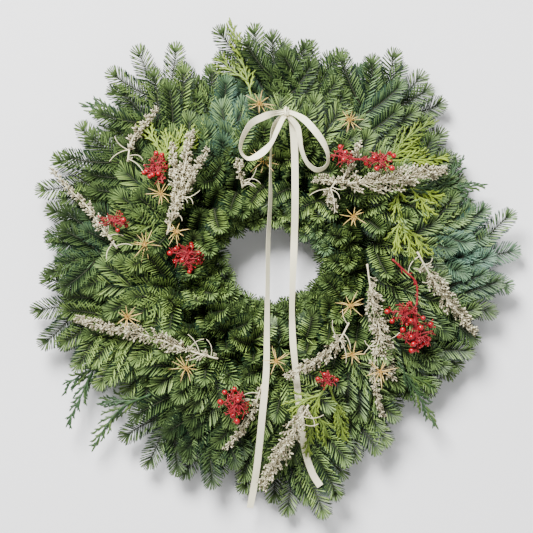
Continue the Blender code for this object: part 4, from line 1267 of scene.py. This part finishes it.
def berry_sprig(name, berry, materials):
    """A red stem on its pick, with stubs along it and its clusters of berries."""
    draw = random.Random(SEED + len(name) * 11)
    stem, clusters = SPRIGS[name]
    lift = SPRIG_LIFT[name]
    thick = berry.stem_radius
    path = [on_crown(point, lift) for point in stem]
    piece = Piece(name + "_berries")
    piece.add(red_twig(path, thick * 1.2, thick), 1)
    piece.add(pick(path[0], 34, (1.5, 1.3, 0.5)), 1)
    for spot in range(STEM_STUBS):
        origin, along = along_path(path, (spot + draw.uniform(0.2, 0.8)) / STEM_STUBS)
        around = Matrix.Rotation((1, -1)[spot % 2] * draw.uniform(0.5, 1.1), 3, "Z") @ along
        end = origin + around * draw.uniform(4, 10) * MM
        knee = origin.lerp(end, 0.5) + Vector((0, 0, 0.8)) * MM
        piece.add(red_twig([origin, knee, end], thick * 0.8, thick * 0.4), 1)
    for cluster in clusters:
        berry_cluster(piece, path, on_crown(cluster[:2], lift + 1), cluster, berry, draw)
    piece.finish(materials, "berry", name)


# Seed heads

SHORT_RAYS = 16  # round the heart
HEART_R = 2.6 * MM
RAY_OUTLINE = ((0.0, 0.4), (0.25, 0.7), (0.5, 1.0), (0.8, 0.6), (1.0, 0.05))  # place and width, as shares


def seed_head(index, heads, materials):
    """Flat pointed rays, widest past their middle, round a heart of short ones."""
    x, y, lift, ray = SEED_HEADS[index]
    name = f"seed_head_{index + 1:02d}"
    draw = random.Random(SEED * 40 + index)
    centre = on_crown((x, y), lift)
    piece = Piece(name + "_rays")
    piece.add(pick(centre, 36, (1.2, 1.1, 0.4)), 0, (0.2, 0, 0, 0))
    count = 10 + index % 3
    for i in range(count + SHORT_RAYS):
        short = i >= count
        roll = i * math.tau / count + draw.uniform(-0.34, 0.34) + index
        rise = draw.uniform(0.4, 1.3) if short else draw.uniform(-0.1, 0.7)
        size = draw.uniform(4.0, 9.0) * MM if short else ray * MM * draw.uniform(0.6, 1.15)
        way = Vector((math.cos(roll) * math.cos(rise), math.sin(roll) * math.cos(rise), math.sin(rise)))
        across, up = sideways(way)
        half = 0.5 * heads.ray_width * (0.7 if short else draw.uniform(0.7, 1.15))
        sections = []
        curl = up * draw.uniform(-1.5, 3.0) * MM + across * draw.uniform(-3.5, 3.5) * MM
        for t, wide in RAY_OUTLINE:
            spot = centre + way * size * t + curl * t * t * (0 if short else 1)
            sections.append([spot + across * half * wide, spot + up * half * 0.5 * wide,
                             spot - across * half * wide, spot - up * half * 0.18 * wide])
        bm = sweep(sections)
        set_growth(bm, lambda vert: (min((vert.co - centre).length / (ray * MM), 1.0), 0, 0, 0))
        piece.add(bm)
    heart = bmesh.new()
    place = Matrix.Translation(centre) @ Matrix.Diagonal((1, 1, 0.8, 1))
    bmesh.ops.create_icosphere(heart, subdivisions=2, radius=HEART_R, matrix=place)
    piece.add(heart, 0, (0.05, 0, 0, 0))
    piece.finish(materials, "straw", name)


# Ribbon

LYING_WIDTH = 0.96  # of the ribbon's flat width
BAND_CELLS = 6  # across the ribbon
GATHER_REACH = 26.0 * MM  # from the knot, where the ribbon spreads to its full width
GATHER = 0.45  # how much narrower it is at the knot
FOLD_DEPTH = 0.9 * MM
RIM_ANGLE = math.radians(50.0)
# The wrap round the knot: half its height and depth and its lift in millimetres
WRAP_HALF = (5.6, 3.8)
WRAP_LIFT = 1.2
WRAP_STEPS = 12


def band(points, width, thickness):
    """A flat strip of ribbon along rows of (x, y, height, lean) in millimetres, gathered close to the
    knot, with its length and width as UVs in metres."""
    rows = [Vector(row) for row in points]
    path = smooth_path([Vector(row[:3]) * MM for row in rows], RIBBON_STEPS)
    leans = smooth_path([Vector((row[3], 0, 0)) for row in rows], RIBBON_STEPS)
    knot = Vector(KNOT) * MM
    bm = bmesh.new()
    uv = bm.loops.layers.uv.new("band")
    bmesh.ops.create_grid(bm, x_segments=BAND_CELLS, y_segments=len(path) - 1, size=1.0)
    bm.verts.ensure_lookup_table()
    flat = {}
    along = 0.0
    for i, (point, lean) in enumerate(zip(path, leans)):
        before, after = path[max(i - 1, 0)], path[min(i + 1, len(path) - 1)]
        way = (after - before).normalized()
        side, up = sideways(way)
        angle = math.radians(lean.x)
        across = side * math.cos(angle) + up * math.sin(angle)
        face = way.cross(across).normalized()
        if face.z < 0:
            face = -face
        if i:
            along += (point - path[i - 1]).length
        gathered = max(0.0, 1.0 - (point - knot).length / GATHER_REACH)
        for j in range(BAND_CELLS + 1):
            share_across = j / BAND_CELLS - 0.5
            fold = gathered * FOLD_DEPTH * math.cos(2 * math.tau * share_across)
            vert = bm.verts[i * (BAND_CELLS + 1) + j]
            vert.co = point + across * width * share_across * (1 - GATHER * gathered) + face * fold
            flat[vert] = (along, share_across * width)
    for face in bm.faces:
        face.smooth = True
        for loop in face.loops:
            loop[uv].uv = flat[loop.vert]
    bmesh.ops.recalc_face_normals(bm, faces=bm.faces)
    bmesh.ops.solidify(bm, geom=bm.faces[:], thickness=thickness)
    for edge in bm.edges:
        if edge.calc_face_angle(0.0) > RIM_ANGLE:
            edge.smooth = False
    return bm, along


def knot_rows():
    """The wrap round the middle of the bow, from behind over the front and back again."""
    rows = []
    for k in range(WRAP_STEPS + 1):
        angle = math.tau * k / WRAP_STEPS - math.pi / 2
        up, out = WRAP_HALF[0] * math.cos(angle), WRAP_HALF[1] * math.sin(angle)
        rows.append((KNOT[0], KNOT[1] + up, KNOT[2] + WRAP_LIFT + out, 0))
    return rows


def ribbon_bow(ribbon, material):
    """The whole ribbon: two loops, two tails and the knot."""
    bm = bmesh.new()
    bm.loops.layers.uv.new("band")
    total = 0.0
    for rows in (LEFT_LOOP, RIGHT_LOOP, LEFT_TAIL, RIGHT_TAIL, knot_rows()):
        part, along = band(rows, ribbon.width * LYING_WIDTH, ribbon.thickness)
        total += along
        merge(bm, as_mesh(part, "band"))
    mesh = as_mesh(bm, "satin_ribbon")
    mesh.materials.append(material)
    obj = bpy.data.objects.new("satin_ribbon", mesh)
    bpy.context.scene.collection.objects.link(obj)
    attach(obj, BODY)
    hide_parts("ribbon_bow")


# Wires

def ring_wire(radius):
    """A round rail of the frame, turned about the ring's centre."""
    bm = bmesh.new()
    place = Matrix.Translation(RING_CENTRE + Vector((radius, 0, RAIL_Z)))
    upright = Matrix.Rotation(math.pi / 2, 4, "X")
    bmesh.ops.create_circle(bm, segments=10, radius=WIRE_R, matrix=place @ upright)
    bmesh.ops.spin(bm, geom=bm.edges[:], cent=RING_CENTRE, axis=(0, 0, 1), angle=math.tau, steps=120,
                   use_merge=True)
    return bm


def wire_frame(material):
    """Two rails over the cross bars, whose ends are rounded off."""
    piece = Piece("wire_frame_rails")
    for radius in RAIL_RADII:
        piece.add(ring_wire(radius))
    for i in range(BAR_COUNT):
        degrees = FIRST_BUNCH + 1 + i * 360 / BAR_COUNT
        start = on_ring(RAIL_RADII[0] - BAR_PAST, degrees, WIRE_R)
        end = on_ring(RAIL_RADII[1] + BAR_PAST, degrees, WIRE_R)
        near, far = start.lerp(end, 0.02), start.lerp(end, 0.98)
        piece.add(tube([start, near, far, end], (WIRE_R * 0.7, WIRE_R, WIRE_R, WIRE_R * 0.7), 10))
    piece.finish([material], "steel_wire", "wire_frame")


def binding_wire(material):
    """One wire, wound over the stem of each bunch and back under the rails."""
    inner, outer = RAIL_RADII
    over = STEM_Z + STEM_R + GAP + BINDING_R
    under = RAIL_Z - WIRE_R - GAP - BINDING_R
    turn = (
        (inner - BINDING_PAST, BINDING_BESIDE, -4.0), (inner + BINDING_IN, over, -0.8),
        (outer - BINDING_IN, over, 2.8), (outer + BINDING_PAST, BINDING_BESIDE, 6.0),
        (outer + BINDING_OUT, under, 8.0), (inner - BINDING_OUT, under, 14.0),
    )
    points = []
    for i in range(BUNCH_COUNT):
        for radius, z, ahead in turn:
            points.append(on_ring(radius, FIRST_BUNCH + i * BUNCH_STEP + ahead, z))
    path = smooth_path(points, 4)
    for point in path:
        point.z = max(point.z, under)
    piece = Piece("binding_wire_turns")
    piece.add(tube(path, [BINDING_R] * len(path), 6))
    piece.finish([material], "binding", "binding_wire")


# Operators

class WREATH_OT_wind_wires(bpy.types.Operator):
    """Makes the wire frame and its binding wire"""
    bl_idname = "wreath.wind_wires"
    bl_label = "Wind the wires"

    def execute(self, context):
        wires = context.scene.wreath_wires
        shared = {"scale": 300.0, "amount": 0.6, "bump": (0.3, 0.3 * MM), "coat_weight": 0.3}
        wire_frame(plain_finish("frame paint", wires.frame_paint, 0.45, 0.45, **shared))
        binding_wire(plain_finish("binding lacquer", wires.binding_paint, 0.45, 0.4, **shared))
        return {"FINISHED"}


class WREATH_OT_grow_fir(bpy.types.Operator):
    """Grows the fir bunches with all their needles"""
    bl_idname = "wreath.grow_fir"
    bl_label = "Grow the fir"

    def execute(self, context):
        fir = context.scene.wreath_fir
        bark = plain_finish("fir bark", fir.bark, 0.4, 0.8, 180.0, 0.8, (0.6, 0.6 * MM))
        materials = [needle_finish(fir), bark]
        samples = []
        for i, span in enumerate(SHOOT_SPANS):
            samples.append([shoot_sample(fir, span, SEED + 10 * i + j) for j in range(SHOOTS_EACH)])
        press = ribbon_press()
        for index in range(BUNCH_COUNT):
            fir_bunch(index, fir, samples, press, materials)
        for group in samples:
            for sample in group:
                bpy.data.meshes.remove(sample.mesh)
        return {"FINISHED"}


class WREATH_OT_grow_cedar(bpy.types.Operator):
    """Grows the cedar branches"""
    bl_idname = "wreath.grow_cedar"
    bl_label = "Grow the cedar"

    def execute(self, context):
        cedar = context.scene.wreath_cedar
        materials = [cedar_finish(cedar)]
        for name in CEDAR:
            cedar_branch(name, cedar, materials)
        return {"FINISHED"}


class WREATH_OT_lay_plumes(bpy.types.Operator):
    """Lays the dried plumes on the fir"""
    bl_idname = "wreath.lay_plumes"
    bl_label = "Lay the plumes"

    def execute(self, context):
        plume = context.scene.wreath_plumes
        stems = plain_finish("dried stems", plume.stem, 0.45, 0.85, 200.0, 0.6, (0.5, 0.4 * MM))
        materials = [floret_finish(plume), stems]
        samples = [floret_sample(plume, FLORET_TWIG_SPAN, SEED + i) for i in range(FLORET_SAMPLES)]
        for name in PLUMES:
            dried_plume(name, samples, materials)
        for sample in samples:
            bpy.data.meshes.remove(sample.mesh)
        return {"FINISHED"}


class WREATH_OT_lay_berries(bpy.types.Operator):
    """Lays the red berry sprigs on the fir"""
    bl_idname = "wreath.lay_berries"
    bl_label = "Lay the berries"

    def execute(self, context):
        berry = context.scene.wreath_berries
        stems = plain_finish("red stems", berry.stem, 0.35, 0.6, 220.0, 0.6, (0.5, 0.4 * MM))
        materials = [berry_finish(berry), stems]
        for name in SPRIGS:
            berry_sprig(name, berry, materials)
        return {"FINISHED"}


class WREATH_OT_lay_seed_heads(bpy.types.Operator):
    """Lays the straw seed heads on the fir"""
    bl_idname = "wreath.lay_seed_heads"
    bl_label = "Lay the seed heads"

    def execute(self, context):
        heads = context.scene.wreath_seed_heads
        materials = [straw_finish(heads)]
        for index in range(len(SEED_HEADS)):
            seed_head(index, heads, materials)
        return {"FINISHED"}


class WREATH_OT_tie_ribbon(bpy.types.Operator):
    """Ties the satin bow with its two tails"""
    bl_idname = "wreath.tie_ribbon"
    bl_label = "Tie the ribbon"

    def execute(self, context):
        ribbon = context.scene.wreath_ribbon
        ribbon_bow(ribbon, satin_finish(ribbon))
        return {"FINISHED"}


class WREATH_OT_set_stage(bpy.types.Operator):
    """Sets the floor, the soft lights and the camera"""
    bl_idname = "wreath.set_stage"
    bl_label = "Set the stage"

    def execute(self, context):
        stage = context.scene.wreath_stage
        scene = context.scene
        bm = bmesh.new()
        bmesh.ops.create_grid(bm, x_segments=1, y_segments=1, size=FLOOR_HALF)
        mesh = as_mesh(bm, "floor")
        mesh.materials.append(
            plain_finish("plain floor", stage.floor, 0.985, 0.85, 3.0, 0.5, (0.02, 0.2 * MM)))
        floor = bpy.data.objects.new("floor", mesh)
        scene.collection.objects.link(floor)

        # Name, power, size and place, in watts and metres
        lights = (
            ("key", stage.key_power, 2.3, Vector((-1.4, 2.9, 3.6))),
            ("fill", stage.fill_power, 2.2, Vector((1.0, -1.2, 1.9))),
        )
        for name, power, size, place in lights:
            data = bpy.data.lights.new(name, "AREA")
            data.energy = power
            data.shape = "DISK"
            data.size = size
            lamp = bpy.data.objects.new(name, data)
            lamp.location = place
            lamp.rotation_euler = (-place).to_track_quat("-Z", "Y").to_euler()
            scene.collection.objects.link(lamp)

        world = bpy.data.worlds.new("studio")
        world.use_nodes = True
        sky = world.node_tree.nodes["Background"]
        sky.inputs["Color"].default_value = (1.0, 1.0, 1.0, 1.0)
        sky.inputs["Strength"].default_value = stage.sky
        scene.world = world

        data = bpy.data.cameras.new("camera")
        data.sensor_width = 36.0
        data.lens = data.sensor_width * VIEW_DISTANCE / VIEW_WIDTH
        camera = bpy.data.objects.new("camera", data)
        camera.location = VIEW_CENTRE + Vector((0, 0, VIEW_DISTANCE))
        scene.collection.objects.link(camera)
        scene.camera = camera
        return {"FINISHED"}


class WREATH_PT_panel(bpy.types.Panel):
    """The wreath's steps, with their sizes and colours"""
    bl_label = "Evergreen wreath"
    bl_idname = "WREATH_PT_panel"
    bl_space_type = "VIEW_3D"
    bl_region_type = "UI"
    bl_category = "Wreath"

    def draw(self, context):
        for operator, settings in STEPS:
            box = self.layout.box()
            box.operator(operator.bl_idname)
            group = getattr(context.scene, settings)
            for key in group.bl_rna.properties.keys():
                if key not in ("rna_type", "name"):
                    box.prop(group, key)


GROUPS = {
    "wreath_wires": WireSettings,
    "wreath_fir": FirSettings,
    "wreath_cedar": CedarSettings,
    "wreath_plumes": PlumeSettings,
    "wreath_berries": BerrySettings,
    "wreath_seed_heads": SeedHeadSettings,
    "wreath_ribbon": RibbonSettings,
    "wreath_stage": StageSettings,
}
STEPS = (
    (WREATH_OT_wind_wires, "wreath_wires"),
    (WREATH_OT_grow_fir, "wreath_fir"),
    (WREATH_OT_grow_cedar, "wreath_cedar"),
    (WREATH_OT_lay_plumes, "wreath_plumes"),
    (WREATH_OT_lay_berries, "wreath_berries"),
    (WREATH_OT_lay_seed_heads, "wreath_seed_heads"),
    (WREATH_OT_tie_ribbon, "wreath_ribbon"),
    (WREATH_OT_set_stage, "wreath_stage"),
)


def register():
    for name, group in GROUPS.items():
        bpy.utils.register_class(group)
        setattr(bpy.types.Scene, name, PointerProperty(type=group))
    for operator, _ in STEPS:
        bpy.utils.register_class(operator)
    bpy.utils.register_class(WREATH_PT_panel)


def unregister():
    bpy.utils.unregister_class(WREATH_PT_panel)
    for operator, _ in reversed(STEPS):
        bpy.utils.unregister_class(operator)
    for name, group in reversed(GROUPS.items()):
        delattr(bpy.types.Scene, name)
        bpy.utils.unregister_class(group)


def main():
    register()
    bpy.ops.wreath.wind_wires()
    bpy.ops.wreath.grow_fir()
    bpy.ops.wreath.grow_cedar()
    bpy.ops.wreath.lay_plumes()
    bpy.ops.wreath.lay_berries()
    bpy.ops.wreath.lay_seed_heads()
    bpy.ops.wreath.tie_ribbon()
    bpy.ops.wreath.set_stage()


if __name__ == "__main__":
    main()
